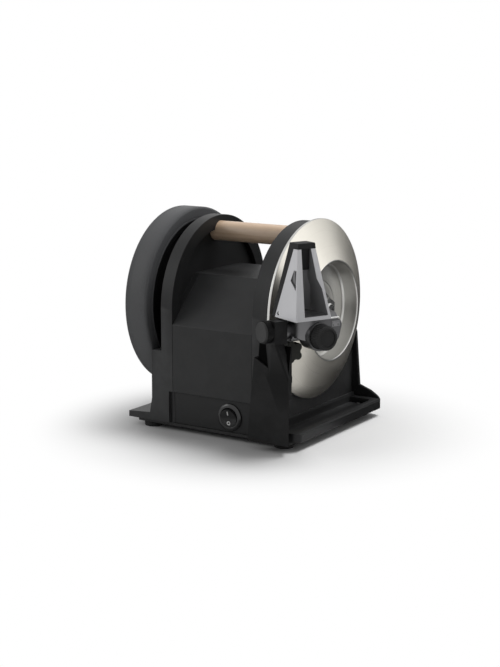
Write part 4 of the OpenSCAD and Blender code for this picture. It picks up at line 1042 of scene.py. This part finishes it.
class SHARPENER_OT_stage(bpy.types.Operator):
    """Set up the pale floor, the soft lamps and the camera"""

    bl_idname = "sharpener.stage"
    bl_label = "Studio"

    DARK_CORNERS = [
        (-0.12, 0.02, 0.002), (0.4, 0.02, 0.002), (0.4, 0.36, 0.002), (0.4, 0.36, 0.14),
        (0.15, 0.36, 0.22), (0.08, 0.36, 0.3), (-0.3, 0.36, 0.31), (-0.12, 0.36, 0.14),
        (-0.12, 0.36, 0.002)]
    GREY_CORNERS = [
        (0.4, -0.4, 0.002), (0.95, -0.4, 0.002), (0.95, 0.4, 0.002), (0.4, 0.4, 0.002),
        (0.95, 0.25, 0.22), (0.95, -0.4, 0.3)]
    # Distances from the middle between which the floor turns white
    FADE = (0.085, 0.205)

    def execute(self, context):
        scene = context.scene
        scene.view_settings.view_transform = "Standard"
        self.floor()
        self.card("dark_card", self.DARK_CORNERS, [(0, 1, 2, 8), (8, 2, 3, 4, 5, 6, 7)], tone=0.06)
        self.card("grey_card", self.GREY_CORNERS, [(0, 1, 2, 3), (2, 1, 5, 4)], tone=0.36)
        self.world(scene)
        self.lamp("lamp_top", (0.3, 0.4, 1.15), aim=0.08, size=0.6, power=16.5, mirrored=False)
        self.lamp("lamp_left", (-1.1, -0.75, 0.7), aim=0.1, size=0.7, power=3.0, mirrored=True)
        self.lamp("lamp_right", (1.25, 0.68, 0.62), aim=0.12, size=0.8, power=1.8, mirrored=True)
        self.camera(scene)
        return {"FINISHED"}

    def floor(self):
        """A wide pale floor that keeps the shadow and turns white further out."""
        bm = bmesh.new()
        bmesh.ops.create_grid(bm, x_segments=1, y_segments=1, size=6.0)
        mesh = bpy.data.meshes.new("floor")
        bm.to_mesh(mesh)
        bm.free()
        ground = bpy.data.objects.new("floor", mesh)
        bpy.context.scene.collection.objects.link(ground)

        made = bpy.data.materials.new("Studio floor")
        made.use_nodes = True
        tree = made.node_tree
        tree.nodes.clear()
        matt = wire(tree, "BsdfDiffuse", {"Color": (0.58, 0.58, 0.58, 1.0)})
        glow = wire(tree, "Emission", {"Color": (1, 1, 1, 1), "Strength": 1.0})
        where = wire(tree, "TexCoord").outputs["Object"]
        away = wire(tree, "VectorMath", {0: where}, operation="LENGTH").outputs["Value"]
        start, end = self.FADE
        far = wire(tree, "MapRange", {"Value": away, "From Min": start, "From Max": end},
                   interpolation_type="SMOOTHSTEP").outputs["Result"]
        seen = self.eye_rays(tree)
        mixed = wire(tree, "MixShader", {0: math_node(tree, "MULTIPLY", far, seen),
                                         1: matt.outputs[0], 2: glow.outputs[0]})
        wire(tree, "OutputMaterial", {"Surface": mixed.outputs[0]})
        mesh.materials.append(made)

    def eye_rays(self, tree):
        """One for the rays that the eye sees straight, mirrored or through glass."""
        path = wire(tree, "LightPath").outputs
        seen = math_node(tree, "MAXIMUM", path["Is Camera Ray"], path["Is Glossy Ray"])
        return math_node(tree, "MAXIMUM", seen, path["Is Transmission Ray"])

    def card(self, name, corners, faces, tone):
        """A card beside the machine that only the metal's and the paint's reflections see."""
        bm = bmesh.new()
        verts = [bm.verts.new(corner) for corner in corners]
        for face in faces:
            bm.faces.new([verts[i] for i in face])
        mesh = bpy.data.meshes.new(name)
        bm.to_mesh(mesh)
        bm.free()
        card = bpy.data.objects.new(name, mesh)
        bpy.context.scene.collection.objects.link(card)
        for kind in ("camera", "diffuse", "transmission", "volume_scatter", "shadow"):
            setattr(card, "visible_" + kind, False)
        made = bpy.data.materials.new(name)
        made.use_nodes = True
        made.node_tree.nodes.clear()
        matt = wire(made.node_tree, "BsdfDiffuse", {"Color": (tone, tone, tone, 1.0)})
        wire(made.node_tree, "OutputMaterial", {"Surface": matt.outputs[0]})
        mesh.materials.append(made)

    def world(self, scene):
        """White to the eye and in reflections, softer as a light."""
        world = bpy.data.worlds.new("Studio")
        world.use_nodes = True
        tree = world.node_tree
        tree.nodes.clear()
        seen = self.eye_rays(tree)
        level = remap(tree, seen, 0.0, 1.0, 0.36, 1.0)
        sky = wire(tree, "Background", {"Color": (1, 1, 1, 1), "Strength": level})
        wire(tree, "OutputWorld", {"Surface": sky.outputs[0]})
        scene.world = world

    def lamp(self, name, place, aim, size, power, mirrored):
        """A soft square lamp that faces a height in the middle, seen in reflections or not."""
        data = bpy.data.lights.new(name, "AREA")
        data.shape = "SQUARE"
        data.size = size
        data.energy = power
        lamp = bpy.data.objects.new(name, data)
        lamp.location = place
        lamp.rotation_euler = (Vector((0, 0, aim)) - Vector(place)).to_track_quat("-Z", "Y").to_euler()
        lamp.visible_glossy = mirrored
        bpy.context.scene.collection.objects.link(lamp)

    def camera(self, scene):
        """The camera at the photograph's place and angle."""
        data = bpy.data.cameras.new("camera")
        data.lens = 76.9
        data.sensor_width = 36.0
        data.clip_start = 0.05
        data.clip_end = 50.0
        camera = bpy.data.objects.new("camera", data)
        camera.location = (0.62644, -0.99906, 0.31332)
        camera.rotation_euler = (math.radians(90 - 11.23), 0.0, math.radians(32.79))
        bpy.context.scene.collection.objects.link(camera)
        scene.camera = camera


OPERATORS = (
    SHARPENER_OT_castings, SHARPENER_OT_base, SHARPENER_OT_bar, SHARPENER_OT_honing_wheel,
    SHARPENER_OT_grinding_wheel, SHARPENER_OT_spindle, SHARPENER_OT_motor, SHARPENER_OT_switch,
    SHARPENER_OT_post, SHARPENER_OT_arm, SHARPENER_OT_guide, SHARPENER_OT_knob, SHARPENER_OT_stage,
)


class SHARPENER_PT_panel(bpy.types.Panel):
    """Sizes, colours and pieces of the bench sharpener."""

    bl_idname = "SHARPENER_PT_panel"
    bl_label = "Bench sharpener"
    bl_space_type = "VIEW_3D"
    bl_region_type = "UI"
    bl_category = "Sharpener"

    def draw(self, context):
        layout = self.layout
        for group in (context.scene.sharpener_sizes, context.scene.sharpener_colours):
            box = layout.box()
            for name in group.__annotations__:
                box.prop(group, name)
        for operator in OPERATORS:
            layout.operator(operator.bl_idname)


CLASSES = (SharpenerSizes, SharpenerColours, *OPERATORS, SHARPENER_PT_panel)


def register():
    for cls in CLASSES:
        bpy.utils.register_class(cls)
    bpy.types.Scene.sharpener_sizes = PointerProperty(type=SharpenerSizes)
    bpy.types.Scene.sharpener_colours = PointerProperty(type=SharpenerColours)


def unregister():
    del bpy.types.Scene.sharpener_colours
    del bpy.types.Scene.sharpener_sizes
    for cls in reversed(CLASSES):
        bpy.utils.unregister_class(cls)


def main():
    """Makes every piece and the studio."""
    register()
    for operator in OPERATORS:
        group, name = operator.bl_idname.split(".")
        getattr(getattr(bpy.ops, group), name)()


if __name__ == "__main__":
    main()
